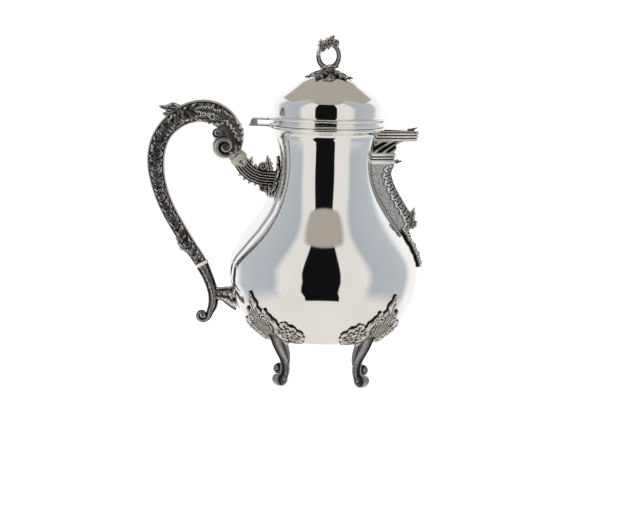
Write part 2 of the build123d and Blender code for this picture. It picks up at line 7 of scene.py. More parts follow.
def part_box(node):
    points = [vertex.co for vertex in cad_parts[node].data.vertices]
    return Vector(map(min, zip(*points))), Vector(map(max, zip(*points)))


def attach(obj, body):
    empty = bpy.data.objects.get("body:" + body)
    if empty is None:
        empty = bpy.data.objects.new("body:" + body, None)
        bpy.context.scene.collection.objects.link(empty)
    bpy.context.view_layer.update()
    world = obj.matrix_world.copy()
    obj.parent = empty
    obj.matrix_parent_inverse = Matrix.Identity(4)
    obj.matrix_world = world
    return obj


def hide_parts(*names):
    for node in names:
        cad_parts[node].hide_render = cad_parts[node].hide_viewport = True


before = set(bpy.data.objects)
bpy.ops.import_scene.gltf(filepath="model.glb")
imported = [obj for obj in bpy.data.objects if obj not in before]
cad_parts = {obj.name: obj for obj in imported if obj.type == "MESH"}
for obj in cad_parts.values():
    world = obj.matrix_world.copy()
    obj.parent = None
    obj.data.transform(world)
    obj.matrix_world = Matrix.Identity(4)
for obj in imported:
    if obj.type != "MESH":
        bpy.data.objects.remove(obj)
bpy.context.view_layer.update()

# Sizes below are in millimetres, in the pot's own frame: Z up, spout towards +X, handle towards -X.
MM = 0.001
TURN_STEPS = 192          # faces round a turned piece
SEAM = 0.00002            # points closer than this are one, metres


def low(node):
    """Lowest corner of a CAD node, in millimetres."""
    return [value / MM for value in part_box(node)[0]]


def high(node):
    """Highest corner of a CAD node, in millimetres."""
    return [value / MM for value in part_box(node)[1]]


BASE_Z = low("body_shell")[2]
SEAT_Z = high("neck_shell")[2]
BELLY_R = high("body_shell")[0]
BELLY_Z = BASE_Z + 60.0
BASE_R = 30.0             # of the flat under the pot
WAIST_R = 38.4
WAIST_Z = 180.0
NECK_R = 42.2
NECK_Z = 203.0            # where the neck's flare ends
WALL = 1.2
LID_Z = low("lid_flange")[2]
FLANGE_TOP_Z = high("lid_flange")[2]
FLANGE_R = high("lid_flange")[0]
LID_R = high("lid_dome")[0]
CROWN_Z = high("lid_dome")[2]
LID_WALL = 1.0
RIM_R = high("rim_moulding")[0]


# ---- making pieces ----
def fresh():
    """Leave edit mode and drop the selection."""
    if bpy.context.object and bpy.context.object.mode != "OBJECT":
        bpy.ops.object.mode_set(mode="OBJECT")
    bpy.ops.object.select_all(action="DESELECT")


def settle(piece, angle=35.0, caps=False):
    """Close seams, turn faces outwards, put the place into the mesh and smooth it."""
    fresh()
    piece.select_set(True)
    bpy.context.view_layer.objects.active = piece
    bpy.ops.object.mode_set(mode="EDIT")
    bpy.ops.mesh.select_all(action="SELECT")
    bpy.ops.mesh.remove_doubles(threshold=SEAM)
    if caps:
        bpy.ops.mesh.fill_holes(sides=0)
    bpy.ops.mesh.select_all(action="SELECT")
    bpy.ops.mesh.normals_make_consistent(inside=False)
    bpy.ops.object.mode_set(mode="OBJECT")
    bpy.ops.object.transform_apply(location=True, rotation=True, scale=True)
    bpy.ops.object.shade_smooth_by_angle(angle=math.radians(angle))
    fresh()
    return piece


def smooth_line(points, parts=6):
    """Points of a smooth line through the given ones."""
    line = []
    for index in range(len(points) - 1):
        before = Vector(points[max(index - 1, 0)])
        start = Vector(points[index])
        end = Vector(points[index + 1])
        after = Vector(points[min(index + 2, len(points) - 1)])
        for part in range(parts):
            t = part / parts
            bend = 2 * start + (end - before) * t + (2 * before - 5 * start + 4 * end - after) * t * t
            line.append((bend + (3 * start - before - 3 * end + after) * t ** 3) / 2)
    line.append(Vector(points[-1]))
    return line


def along_table(table, place):
    """Value at a place in a table of (place, value) pairs, held beyond its ends."""
    if place <= table[0][0]:
        return table[0][1]
    for (start, first), (end, last) in zip(table, table[1:]):
        if place <= end:
            return first + (last - first) * (place - start) / (end - start)
    return table[-1][1]


def turned_piece(name, outline, steps=TURN_STEPS):
    """Spin a half section of (radius, height) about the pot's upright axis."""
    fresh()
    bpy.ops.mesh.primitive_plane_add(size=MM, location=(outline[0][0] * MM, 0, outline[0][1] * MM))
    piece = bpy.context.object
    piece.name = name
    bpy.ops.object.mode_set(mode="EDIT")
    bpy.ops.mesh.merge(type="CENTER")
    for before, after in zip(outline, outline[1:]):
        step = ((after[0] - before[0]) * MM, 0, (after[1] - before[1]) * MM)
        bpy.ops.mesh.extrude_region_move(TRANSFORM_OT_translate={"value": step})
    bpy.ops.mesh.select_all(action="SELECT")
    bpy.ops.mesh.spin(steps=steps, angle=2 * math.pi, center=(0, 0, 0), axis=(0, 0, 1))
    return settle(piece)


def flat_grid(name, along, across):
    """A grid of faces to be laid on a surface; its points run from -1 to 1 both ways."""
    fresh()
    bpy.ops.mesh.primitive_grid_add(x_subdivisions=along, y_subdivisions=across, size=2, location=(0, 0, 0))
    piece = bpy.context.object
    piece.name = name
    return piece


def shaped_sheet(name, shape, along, across, caps=False, angle=50.0, finish=True):
    """Lay a grid on a surface: shape(u, v) gives (place, relief) with u and v from 0 to 1."""
    piece = flat_grid(name, along, across)
    relief = piece.data.attributes.new("relief", "FLOAT", "POINT")
    for index, vertex in enumerate(piece.data.vertices):
        place, height = shape((vertex.co.x + 1) / 2, (vertex.co.y + 1) / 2)
        vertex.co = Vector(place) * MM
        relief.data[index].value = height
    if finish:
        settle(piece, angle, caps)
    return piece


def heading_at(points, index):
    """Heading of a line of points at one of them."""
    heading = points[min(index + 1, len(points) - 1)] - points[max(index - 1, 0)]
    return heading.normalized()


def swept_bar(name, stations, half_width, carve, parts, around, sideways=(0, 1, 0), boxy=1.0):
    """A curved bar through (x, y, z, depth) stations; carve(travelled, turn) gives its stand-out and relief."""
    line = smooth_line(stations, parts)
    places = [Vector(point[:3]) for point in line]
    travelled = [0.0]
    for before, after in zip(places, places[1:]):
        travelled.append(travelled[-1] + (after - before).length)
    side = Vector(sideways)

    def shape(u, v):
        index = round(u * (len(line) - 1))
        heading = heading_at(places, index)
        up = side.cross(heading).normalized()
        turn = 2 * math.pi * v
        out, height = carve(travelled[index], turn)
        depth = line[index][3] / 2 + out
        width = half_width(index / (len(line) - 1)) + out
        rise = math.copysign(abs(math.cos(turn)) ** boxy, math.cos(turn))
        reach = math.copysign(abs(math.sin(turn)) ** boxy, math.sin(turn))
        return places[index] + up * rise * depth + side * reach * width, height

    return shaped_sheet(name, shape, len(line) - 1, around, caps=True)


def joined(name, pieces):
    """Join several pieces into one."""
    fresh()
    for piece in pieces:
        piece.select_set(True)
    bpy.context.view_layer.objects.active = pieces[0]
    bpy.ops.object.join()
    pieces[0].name = name
    fresh()
    return pieces[0]


def place(piece, body, slot, material, *nodes):
    """Ride a finished piece on a body, give it its finish, and let it stand for its CAD nodes."""
    piece.data.materials.clear()
    piece.data.materials.append(material)
    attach(piece, body)
    if nodes:
        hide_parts(*nodes)


# ---- finishes ----
def new_group(name, inputs, outputs):
    """An empty shader node group with the named sockets."""
    group = bpy.data.node_groups.new(name, "ShaderNodeTree")
    for socket, kind in inputs:
        group.interface.new_socket(name=socket, in_out="INPUT", socket_type=kind)
    for socket, kind in outputs:
        group.interface.new_socket(name=socket, in_out="OUTPUT", socket_type=kind)
    return group, group.nodes.new("NodeGroupInput"), group.nodes.new("NodeGroupOutput")


def node(tree, kind, inputs=None, **settings):
    """Add a node, set its options and its input values, or link them where a socket is given."""
    made = tree.nodes.new(kind)
    for key, value in settings.items():
        setattr(made, key, value)
    for key, value in (inputs or {}).items():
        if isinstance(value, bpy.types.NodeSocket):
            tree.links.new(value, made.inputs[key])
        else:
            made.inputs[key].default_value = value
    return made


def maths(tree, operation, *values):
    """Result of a Math node on numbers or sockets."""
    return node(tree, "ShaderNodeMath", dict(enumerate(values)), operation=operation).outputs[0]


def ramp(tree, factor, stops):
    """A colour ramp with the given (place, colour) stops."""
    made = node(tree, "ShaderNodeValToRGB", {"Fac": factor})
    elements = made.color_ramp.elements
    while len(elements) < len(stops):
        elements.new(0.5)
    for element, (spot, colour) in zip(elements, stops):
        element.position = spot
        element.color = (*colour, 1.0)
    return made.outputs["Color"]


def hollow_group():
    """Darkness in the hollows of a relief, part tarnish and part painted shade: from the carved height, broken up
    by a fine mottle.
    """
    group, inlet, outlet = new_group(
        "hollow_tarnish_and_shade",
        [("Reach", "NodeSocketFloat"), ("Mottle", "NodeSocketFloat")],
        [("TarnishAndShade", "NodeSocketFloat"), ("Grain", "NodeSocketFloat")],
    )
    carved = node(group, "ShaderNodeAttribute", attribute_name="relief")
    place_m = node(group, "ShaderNodeTexCoord").outputs["Object"]
    mottle = node(group, "ShaderNodeTexNoise", {"Vector": place_m, "Scale": 900.0, "Detail": 5.0})
    spread = maths(group, "MULTIPLY", mottle.outputs["Fac"], inlet.outputs["Mottle"])
    height = maths(group, "SUBTRACT", carved.outputs["Fac"], spread)
    # Lower than its surroundings gives more: tarnish and painted shade in the hollows.
    tarnish_and_shade = node(
        group, "ShaderNodeMapRange", {"Value": height, "From Min": inlet.outputs["Reach"], "From Max": -0.2}
    )
    group.links.new(tarnish_and_shade.outputs["Result"], outlet.inputs["TarnishAndShade"])
    group.links.new(mottle.outputs["Fac"], outlet.inputs["Grain"])
    return group


def wear_group():
    """Handling marks on polished silver: hairline scratches and a faint haze."""
    group, inlet, outlet = new_group(
        "handling_marks",
        [("Haze", "NodeSocketFloat"), ("Depth", "NodeSocketFloat")],
        [("Roughness", "NodeSocketFloat"), ("Normal", "NodeSocketVector"), ("Film", "NodeSocketFloat")],
    )
    place_m = node(group, "ShaderNodeTexCoord").outputs["Object"]
    cloud = node(group, "ShaderNodeTexNoise", {"Vector": place_m, "Scale": 28.0, "Detail": 6.0})
    haze = maths(group, "MULTIPLY", cloud.outputs["Fac"], inlet.outputs["Haze"])
    stretched = node(group, "ShaderNodeMapping", {"Vector": place_m, "Scale": (90.0, 90.0, 1400.0)})
    lines = node(group, "ShaderNodeTexNoise", {"Vector": stretched.outputs["Vector"], "Scale": 1.0, "Detail": 3.0})
    depth = inlet.outputs["Depth"]
    bump = node(group, "ShaderNodeBump", {"Strength": 0.05, "Distance": depth, "Height": lines.outputs["Fac"]})
    group.links.new(haze, outlet.inputs["Roughness"])
    group.links.new(bump.outputs["Normal"], outlet.inputs["Normal"])
    group.links.new(cloud.outputs["Fac"], outlet.inputs["Film"])
    return group


HOLLOWS = hollow_group()
MARKS = wear_group()


def new_material(name):
    """A material with an empty tree and its Principled shader."""
    material = bpy.data.materials.new(name)
    material.use_nodes = True
    tree = material.node_tree
    tree.nodes.clear()
    outlet = tree.nodes.new("ShaderNodeOutputMaterial")
    shader = tree.nodes.new("ShaderNodeBsdfPrincipled")
    tree.links.new(shader.outputs["BSDF"], outlet.inputs["Surface"])
    return material, tree, shader


def raise_skin(tree, shader, height, strength, depth):
    """Roughen a finish by a bump; the depth is in metres."""
    bump = node(tree, "ShaderNodeBump", {"Strength": strength, "Distance": depth, "Height": height})
    tree.links.new(bump.outputs["Normal"], shader.inputs["Normal"])


def polished_silver(name, haze):
    """Polished silver with a warm cast and light handling marks; more haze where hands wear it."""
    material, tree, shader = new_material(name)
    marks = node(tree, "ShaderNodeGroup", node_tree=MARKS)
    marks.inputs["Haze"].default_value = haze
    marks.inputs["Depth"].default_value = 0.00002
    colour = ramp(tree, marks.outputs["Film"], [(0.3, (0.90, 0.89, 0.87)), (0.7, (0.95, 0.94, 0.92))])
    tree.links.new(colour, shader.inputs["Base Color"])
    tree.links.new(marks.outputs["Roughness"], shader.inputs["Roughness"])
    tree.links.new(marks.outputs["Normal"], shader.inputs["Normal"])
    shader.inputs["Metallic"].default_value = 1.0
    return material


TARNISH_ROUGHNESS = 0.75


def carved_silver(name, bright, middle, dark, reach, mottle, rough):
    """Cast or chased silver: bright high points, partly a painted highlight; dark hollows, part tarnish and part
    painted shade; a fine cast skin.
    """
    material, tree, shader = new_material(name)
    hollows = node(tree, "ShaderNodeGroup", node_tree=HOLLOWS)
    hollows.inputs["Reach"].default_value = reach
    hollows.inputs["Mottle"].default_value = mottle
    # Bright where the carving stands out, partly a painted highlight; dark in the hollows, part tarnish and part
    # painted shade.
    colour = ramp(tree, hollows.outputs["TarnishAndShade"], [(0.0, bright), (0.3, middle), (0.68, dark)])
    tree.links.new(colour, shader.inputs["Base Color"])
    ends = {"To Min": rough, "To Max": TARNISH_ROUGHNESS}
    roughness = node(tree, "ShaderNodeMapRange", {"Value": hollows.outputs["TarnishAndShade"], **ends})
    tree.links.new(roughness.outputs["Result"], shader.inputs["Roughness"])
    raise_skin(tree, shader, hollows.outputs["Grain"], 0.5, 0.0003)
    shader.inputs["Metallic"].default_value = 1.0
    return material


def stippled_silver():
    """Silver matted with a fine punch, grey and sparkling."""
    material, tree, shader = new_material("stippled_silver")
    place_m = node(tree, "ShaderNodeTexCoord").outputs["Object"]
    dots = node(tree, "ShaderNodeTexVoronoi", {"Vector": place_m, "Scale": 1300.0})
    cloud = node(tree, "ShaderNodeTexNoise", {"Vector": place_m, "Scale": 420.0, "Detail": 4.0})
    punched = maths(tree, "MULTIPLY", dots.outputs["Distance"], cloud.outputs["Fac"])
    tones = [(0.05, (0.16, 0.16, 0.16)), (0.22, (0.48, 0.48, 0.47)), (0.5, (0.72, 0.72, 0.7))]
    tree.links.new(ramp(tree, punched, tones), shader.inputs["Base Color"])
    raise_skin(tree, shader, punched, 0.9, 0.0004)
    shader.inputs["Metallic"].default_value = 0.9
    shader.inputs["Roughness"].default_value = 0.42
    return material


def bone(name, pale, stained, dark):
    """Insulator bone: fine grain along the disc, in pale, stained and dark streaks."""
    material, tree, shader = new_material(name)
    place_m = node(tree, "ShaderNodeTexCoord").outputs["Object"]
    grain = node(tree, "ShaderNodeMapping", {"Vector": place_m, "Scale": (160.0, 160.0, 900.0)})
    streaks = node(tree, "ShaderNodeTexNoise", {"Vector": grain.outputs["Vector"], "Scale": 1.0, "Detail": 5.0})
    colour = ramp(tree, streaks.outputs["Fac"], [(0.32, dark), (0.5, stained), (0.68, pale)])
    tree.links.new(colour, shader.inputs["Base Color"])
    raise_skin(tree, shader, streaks.outputs["Fac"], 0.3, 0.0002)
    shader.inputs["Roughness"].default_value = 0.38
    shader.inputs["Coat Weight"].default_value = 0.15
    return material


POLISHED = polished_silver("polished_silver", 0.075)
WORN = polished_silver("worn_silver", 0.75)
# Tones of the carved finishes: bright, middle and dark, the dark being tarnish and painted shade in the hollows.
CAST = carved_silver(
    "cast_silver", (0.88, 0.86, 0.83), (0.33, 0.31, 0.29), (0.018, 0.014, 0.012), 0.6, 0.44, 0.22
)
HANDLE = carved_silver(
    "oxidised_silver", (0.74, 0.73, 0.71), (0.25, 0.24, 0.235), (0.03, 0.025, 0.023), 0.6, 0.4, 0.26
)
DARK_CAST = carved_silver(
    "dark_cast_silver", (0.58, 0.58, 0.57), (0.2, 0.2, 0.2), (0.02, 0.02, 0.02), 0.62, 0.45, 0.25
)
STIPPLED = stippled_silver()
BONE_DARK = bone("bone_stained", (0.55, 0.52, 0.42), (0.38, 0.36, 0.28), (0.2, 0.19, 0.15))
BONE_PALE = bone("bone_pale", (0.86, 0.82, 0.72), (0.72, 0.67, 0.56), (0.5, 0.45, 0.36))


# ---- the pot's turned walls ----
def pot_radius(height):
    """Outer radius of the pot at a height: round belly, falling shoulder, flaring neck."""
    if height <= BELLY_Z:
        drop = min(1.0, (BELLY_Z - height) / (BELLY_Z - BASE_Z))
        return BASE_R + (BELLY_R - BASE_R) * math.sqrt(1 - drop * drop)
    if height <= WAIST_Z:
        rise = ((height - BELLY_Z) / (WAIST_Z - BELLY_Z)) ** 0.91
        return WAIST_R + (BELLY_R - WAIST_R) * (1 + math.cos(math.pi * rise)) / 2
    if height <= NECK_Z:
        return WAIST_R + (NECK_R - WAIST_R) * ((height - WAIST_Z) / (NECK_Z - WAIST_Z)) ** 1.6
    return NECK_R


def wall_heights(below, above):
    """Heights from the flat base over the belly up to the neck, in steps below and above the belly."""
    lower = [BELLY_Z - (BELLY_Z - BASE_Z) * math.cos(math.pi / 2 * step / below) for step in range(below + 1)]
    return lower + [BELLY_Z + (NECK_Z - BELLY_Z) * step / above for step in range(1, above + 1)]


# The crease of the end panel: (height, degrees round from the handle).
CREASE = [
    (84, 6), (90, 12.5), (100, 17), (112, 26), (126, 33), (142, 36), (160, 31), (181, 25), (196, 20), (204, 8),
]
CREASE_COLUMN = 30.0      # the spun column, in degrees off the handle's plane, that is drawn onto the crease
CREASE_DEPTH = 1.1
CREASE_HALF = 3.5         # half its width
CREASE_FOOT_FADE = 8.0    # how far the crease runs out below its first height
CREASE_TOP_FADE = 3.0


def press_crease(body):
    """Draw one pair of columns onto the crease and sink it, so that the panel behind the handle stands out."""
    foot = CREASE[0][0] - CREASE_FOOT_FADE
    top = CREASE[-1][0] + CREASE_TOP_FADE
    for vertex in body.data.vertices:
        x, y, z = (value / MM for value in vertex.co)
        radius = math.hypot(x, y)
        if radius < 1 or z < foot or z > top:
            continue
        fade = min(1.0, (z - foot) / CREASE_FOOT_FADE, (top - z) / CREASE_TOP_FADE)
        angle = math.degrees(math.atan2(abs(y), -x))
        crease = CREASE_COLUMN + (along_table(CREASE, z) - CREASE_COLUMN) * fade
        if angle <= CREASE_COLUMN:
            angle = angle * crease / CREASE_COLUMN
        else:
            angle = crease + (angle - CREASE_COLUMN) * (180 - crease) / (180 - CREASE_COLUMN)
        apart = abs(math.radians(angle - crease) * radius)
        sink = CREASE_DEPTH * fade * max(0.0, 1 - apart / CREASE_HALF)
        turn = math.radians(angle)
        side = 1 if y >= 0 else -1
        vertex.co.x = -(radius - sink) * math.cos(turn) * MM
        vertex.co.y = side * (radius - sink) * math.sin(turn) * MM


def make_body():
    """The raised body: outer skin, rolled top edge and inner skin in one closed wall."""
    outside = [(0, BASE_Z), (BASE_R / 2, BASE_Z)] + [(pot_radius(z), z) for z in wall_heights(24, 56)]
    inside = [(max(radius - WALL, 0), max(z, BASE_Z + WALL)) for radius, z in outside]
    outline = outside + [(NECK_R, SEAT_Z), (NECK_R - WALL, SEAT_Z)] + inside[::-1][::3] + [(0, BASE_Z + WALL)]
    body = turned_piece("pot_body", outline)
    press_crease(body)
    return body


def make_rim():
    """Moulding round the top of the neck: a hollow under a rolled edge."""
    foot = low("rim_moulding")[2]
    inner = NECK_R + 0.05
    cove = [(NECK_R + 0.8, foot), (NECK_R + 1.1, foot + 1.0), (NECK_R + 2.2, foot + 2.8)]
    roll = [(-2.0, 4.2), (-0.5, 4.9), (0.0, 6.0), (-0.7, 7.2)]
    line = smooth_line(cove + [(RIM_R + out, foot + up) for out, up in roll], 5)
    outline = [(inner, foot)] + line + [(RIM_R - 1.2, SEAT_Z), (inner, SEAT_Z), (inner, foot)]
    return turned_piece("rim_moulding_polished", outline)


def make_flange():
    """Stepped edge of the lid: a quirk, a hollow and a full rolled bead."""
    inner = FLANGE_R - 9.0
    hollow = [(-1.0, 0.0), (-0.6, 0.7), (-1.2, 1.5), (-2.7, 2.2), (-2.4, 3.3)]
    bead = [(-1.6, 4.2), (-0.2, 5.2), (0.0, 6.3), (-1.0, 7.5), (-2.8, 7.9)]
    steps = [(RIM_R + out, LID_Z + up) for out, up in hollow]
    steps += [(FLANGE_R + out, LID_Z + up) for out, up in bead]
    line = smooth_line(steps + [(LID_R + 0.5, FLANGE_TOP_Z)], 4)
    outline = [(inner, LID_Z)] + line + [(inner, FLANGE_TOP_Z), (inner, LID_Z)]
    return turned_piece("lid_edge", outline)


def make_dome():
    """Lid: upright wall, round shoulder and ogee up to a flat crown."""
    shoulder = FLANGE_TOP_Z + 6.5
    rise = CROWN_Z - shoulder
    ogee = [
        (1.0, 0.0), (0.99, 0.10), (0.95, 0.22), (0.87, 0.36), (0.74, 0.52),
        (0.60, 0.68), (0.48, 0.82), (0.32, 0.94), (0.14, 0.99), (0.0, 1.0),
    ]
    line = smooth_line([(LID_R * share, shoulder + rise * up) for share, up in ogee], 6)
    outside = [(LID_R, FLANGE_TOP_Z), (LID_R, FLANGE_TOP_Z + 3.2)] + line
    inside = [(max(radius - LID_WALL, 0), max(z - LID_WALL, FLANGE_TOP_Z)) for radius, z in outside]
    return turned_piece("lid_dome_polished", outside + inside[::-1][::3] + [inside[0], outside[0]])


place(make_body(), "pot", "polished_silver", POLISHED, "body_shell", "neck_shell")
place(make_rim(), "pot", "polished_silver", POLISHED, "rim_moulding")
place(make_flange(), "lid", "polished_silver", POLISHED, "lid_flange")
place(make_dome(), "lid", "polished_silver", POLISHED, "lid_dome")


# ---- carving tools: every height below is a share of the relief, 0 where there is no metal ----
def leaf(s, t, root, heading, length, width, bend=0.0, lobes=4):
    """One carved acanthus leaf: lobed edge, sunk midrib, veins that run out to the lobes."""
    turn = math.radians(heading)
    dx, dy = s - root[0], t - root[1]
    u = (dx * math.cos(turn) + dy * math.sin(turn)) / length
    if u <= 0 or u >= 1:
        return 0.0
    across = -dx * math.sin(turn) + dy * math.cos(turn) - bend * length * u * u
    half = width * math.sin(math.pi * u ** 0.7) ** 0.75 * (1 + 0.2 * math.cos(2 * math.pi * lobes * u))
    part = abs(across) / half
    if part >= 1:
        return 0.0
    vein = (0.5 + 0.5 * math.cos(2 * math.pi * (lobes * u - 0.55 * part))) ** 3
    midrib = math.exp(-((across / 0.55) ** 2))
    return 0.42 + 0.5 * math.sqrt(1 - part * part) - 0.34 * vein * part - 0.3 * midrib + 0.14 * u


def leaves(s, t, rows):
    """Highest of several leaves; each row is (share of relief, root, heading, length, width, bend, lobes)."""
    return max(share * leaf(s, t, *shape) for share, *shape in rows)


def standing(height, least, rise):
    """Stand-off of carved metal: a least height and a share of the rise; none where nothing is carved."""
    return least + rise * height if height > 0 else 0.0


def rosette(s, t, middle, radius, petals=6):
    """An open flower: two rings of cupped petals round a bead."""
    dx, dy = s - middle[0], t - middle[1]
    reach = math.hypot(dx, dy)
    if reach >= radius:
        return 0.0
    turn = math.atan2(dy, dx)
    outer = abs(math.cos(petals * turn / 2))
    edge = radius * (0.72 + 0.28 * math.sqrt(outer))
    if reach >= edge:
        return 0.0
    if reach < 0.22 * radius:
        return 0.7 + 0.3 * math.sqrt(1 - (reach / radius / 0.22) ** 2)
    inner = abs(math.sin(petals * turn / 2))
    if reach < 0.55 * radius * (0.75 + 0.25 * inner):
        return 0.5 + 0.35 * inner - 0.4 * abs(reach / radius - 0.4)
    return 0.25 + 0.5 * outer * math.sqrt(max(0.0, 1 - (1.9 * reach / edge - 1.35) ** 2))


def scroll(s, t, middle, radius, turns=1.8, start=0.0, hand=1):
    """A rolled scroll: one rounded ridge that winds in to an eye."""
    dx, dy = s - middle[0], t - middle[1]
    reach = math.hypot(dx, dy)
    if reach >= radius:
        return 0.0
    wind = (hand * math.atan2(dy, dx) - math.radians(start)) / (2 * math.pi) % 1.0
    pitch = radius / (turns + 0.35)
    level = (radius - reach) / pitch - wind
    ridge = abs(math.sin(math.pi * level)) if reach > 0.5 * pitch else 1.0
    return 0.4 + 0.6 * math.sqrt(ridge) * math.sqrt(max(0.0, 1 - (reach / radius) ** 8))


def strand(s, t, points, width, reeds=1):
    """A rounded or reeded moulding along a line of points; the width is a share of it at either end."""
    best, spot = None, 0.0
    for index, (start, end) in enumerate(zip(points, points[1:])):
        run = (end[0] - start[0], end[1] - start[1])
        size = run[0] ** 2 + run[1] ** 2
        along = max(0.0, min(1.0, ((s - start[0]) * run[0] + (t - start[1]) * run[1]) / size))
        away = math.hypot(s - start[0] - run[0] * along, t - start[1] - run[1] * along)
        if best is None or away < best:
            best, spot = away, (index + along) / (len(points) - 1)
    half = width[0] + (width[1] - width[0]) * spot
    if best >= half:
        return 0.0
    part = best / half
    groove = 0.5 - 0.5 * math.cos(2 * math.pi * reeds * part) if reeds > 1 else 0.0
    return 0.45 + 0.55 * math.sqrt(1 - part * part) - 0.28 * groove


def blurred(rows, reach):
    """Mean of a grid of heights over a small square round each of them."""
    for _ in range(2):
        smoothed = []
        for row in rows:
            sums = [0.0]
            for value in row:
                sums.append(sums[-1] + value)
            spans = [(max(0, i - reach), min(len(row), i + reach + 1)) for i in range(len(row))]
            smoothed.append([(sums[end] - sums[start]) / (end - start) for start, end in spans])
        rows = [list(column) for column in zip(*smoothed)]
    return rows


SURROUNDINGS = 3          # cells each way that a carved height is compared with
LEAST_METAL = 0.05


def carved_sheet(name, surface, lift, along, across, gain=1.6, both_sides=False, foot=0.0):
    """Lay a grid on a surface, cut away the ground where lift(u, v) is 0, and raise the rest off it in mm.

    surface(u, v) gives a place and the way out of it; the height against its surroundings becomes the relief."""
    piece = flat_grid(name, along, across)
    mesh = piece.data
    cells = [(round((v.co.x + 1) / 2 * along), round((v.co.y + 1) / 2 * across)) for v in mesh.vertices]
    heights = [[lift(i / along, j / across) for j in range(across + 1)] for i in range(along + 1)]
    means = blurred(heights, SURROUNDINGS)
    mesh.attributes.new("raised", "FLOAT_VECTOR", "POINT")
    mesh.attributes.new("relief", "FLOAT", "POINT")
    raised, relief = mesh.attributes["raised"], mesh.attributes["relief"]
    for index, (i, j) in enumerate(cells):
        spot, way = surface(i / along, j / across)
        mesh.vertices[index].co = Vector(spot) * MM
        raised.data[index].vector = Vector(way) * max(heights[i][j], LEAST_METAL) * MM
        # The relief is coloured bright where the carving stands above its surroundings and dark where it sinks:
        # painted highlight and painted shade, with tarnish.
        relief.data[index].value = max(0.0, min(1.0, 0.5 + gain * (heights[i][j] - means[i][j])))
    bare = [max(heights[i][j] for i, j in (cells[v] for v in face.vertices)) <= 0 for face in mesh.polygons]
    bpy.ops.object.mode_set(mode="EDIT")
    bpy.ops.mesh.select_mode(type="FACE")
    bpy.ops.mesh.select_all(action="DESELECT")
    bpy.ops.object.mode_set(mode="OBJECT")
    for face, cut in zip(mesh.polygons, bare):
        face.select = cut
    bpy.ops.object.mode_set(mode="EDIT")
    bpy.ops.mesh.delete(type="FACE")
    bpy.ops.mesh.select_mode(type="VERT")
    bpy.ops.mesh.select_all(action="DESELECT")
    bpy.ops.mesh.select_non_manifold()
    bpy.ops.mesh.vertices_smooth(factor=0.5, repeat=3)
    bpy.ops.mesh.select_all(action="SELECT")
    bpy.ops.mesh.extrude_region_move(TRANSFORM_OT_translate={"value": (0, 0, 0)})
    bpy.ops.object.mode_set(mode="OBJECT")
    raised, relief = mesh.attributes["raised"], mesh.attributes["relief"]
    # Points left on the wall of a one-sided piece form its side walls and take the relief foot, which paints them
    # dark: a painted dark reflection on walls seen edge-on.
    for vertex in mesh.vertices:
        if vertex.select:
            vertex.co += raised.data[vertex.index].vector
        elif both_sides:
            vertex.co -= raised.data[vertex.index].vector
        else:
            relief.data[vertex.index].value = foot
    mesh.attributes.remove(raised)
    return settle(piece, 60.0)


def flat_relief(name, corner, size, cell, height, gain=0.9):
    """A piece carved alike on both faces, standing in the handle's upright plane."""
    columns, rows = round(size[0] / cell), round(size[1] / cell)

    def surface(u, v):
        return (corner[0] + size[0] * u, 0, corner[1] + size[1] * v), (0, -1, 0)

    def lift(u, v):
        return height(corner[0] + size[0] * u, corner[1] + size[1] * v)

    return carved_sheet(name, surface, lift, columns, rows, gain, both_sides=True)


def turned_copy(piece, name, degrees):
    """A copy with its own mesh, turned about the pot's axis."""
    fresh()
    piece.select_set(True)
    bpy.context.view_layer.objects.active = piece
    bpy.ops.object.duplicate(linked=False)
    copy = bpy.context.object
    copy.name = name
    copy.rotation_euler = (0, 0, math.radians(degrees))
    bpy.ops.object.transform_apply(location=True, rotation=True, scale=True)
    fresh()
    return copy


def grain(x, y, z, size):
    """Seedless noise from -1 to 1 with features of the given size in millimetres."""
    return noise.noise(Vector((x, y, z)) / size)


# ---- lines on the pot's wall ----
def wall_profile():
    """The wall's outline from the flat base up: (length along it, radius, height)."""
    spots = [(pot_radius(height), height) for height in wall_heights(40, 100)]
    line = [(0.0, *spots[0])]
    for before, after in zip(spots, spots[1:]):
        line.append((line[-1][0] + math.dist(before, after), *after))
    return line


PROFILE = wall_profile()


def wall_length(height):
    """Length along the wall at a height."""
    return next(length for length, _, level in PROFILE if level >= height)


def on_wall(azimuth, aside, length):
    """Place on the wall and the way out of it, from an azimuth, mm sideways and a length along the wall."""
    index = next((i for i, spot in enumerate(PROFILE) if spot[0] >= length), len(PROFILE) - 1)
    index = max(index, 1)
    (start, start_r, start_z), (end, end_r, end_z) = PROFILE[index - 1], PROFILE[index]
    part = (length - start) / (end - start)
    radius, height = start_r + (end_r - start_r) * part, start_z + (end_z - start_z) * part
    slope = Vector((end_z - start_z, 0, start_r - end_r)).normalized()
    turn = math.radians(azimuth) + aside / radius
    way = Vector((slope.x * math.cos(turn), slope.x * math.sin(turn), slope.z))
    return Vector((radius * math.cos(turn), radius * math.sin(turn), height)), way


OFF_WALL = 0.05           # gap between an applied piece and the wall


# foot is the relief of the piece's side walls: 0 paints them dark as a painted reflection.
def on_pot_relief(name, azimuth, half_span, lengths, cell, height, gain=1.6, foot=0.0):
    """A relief applied to the pot's wall; height(aside, length) is in mm."""
    low_end, tall = lengths[0], lengths[1] - lengths[0]

    def surface(u, v):
        spot, way = on_wall(azimuth, half_span * (2 * u - 1), low_end + tall * v)
        return spot + way * OFF_WALL, way

    def lift(u, v):
        return height(half_span * (2 * u - 1), low_end + tall * v)

    return carved_sheet(name, surface, lift, round(2 * half_span / cell), round(tall / cell), gain, foot=foot)


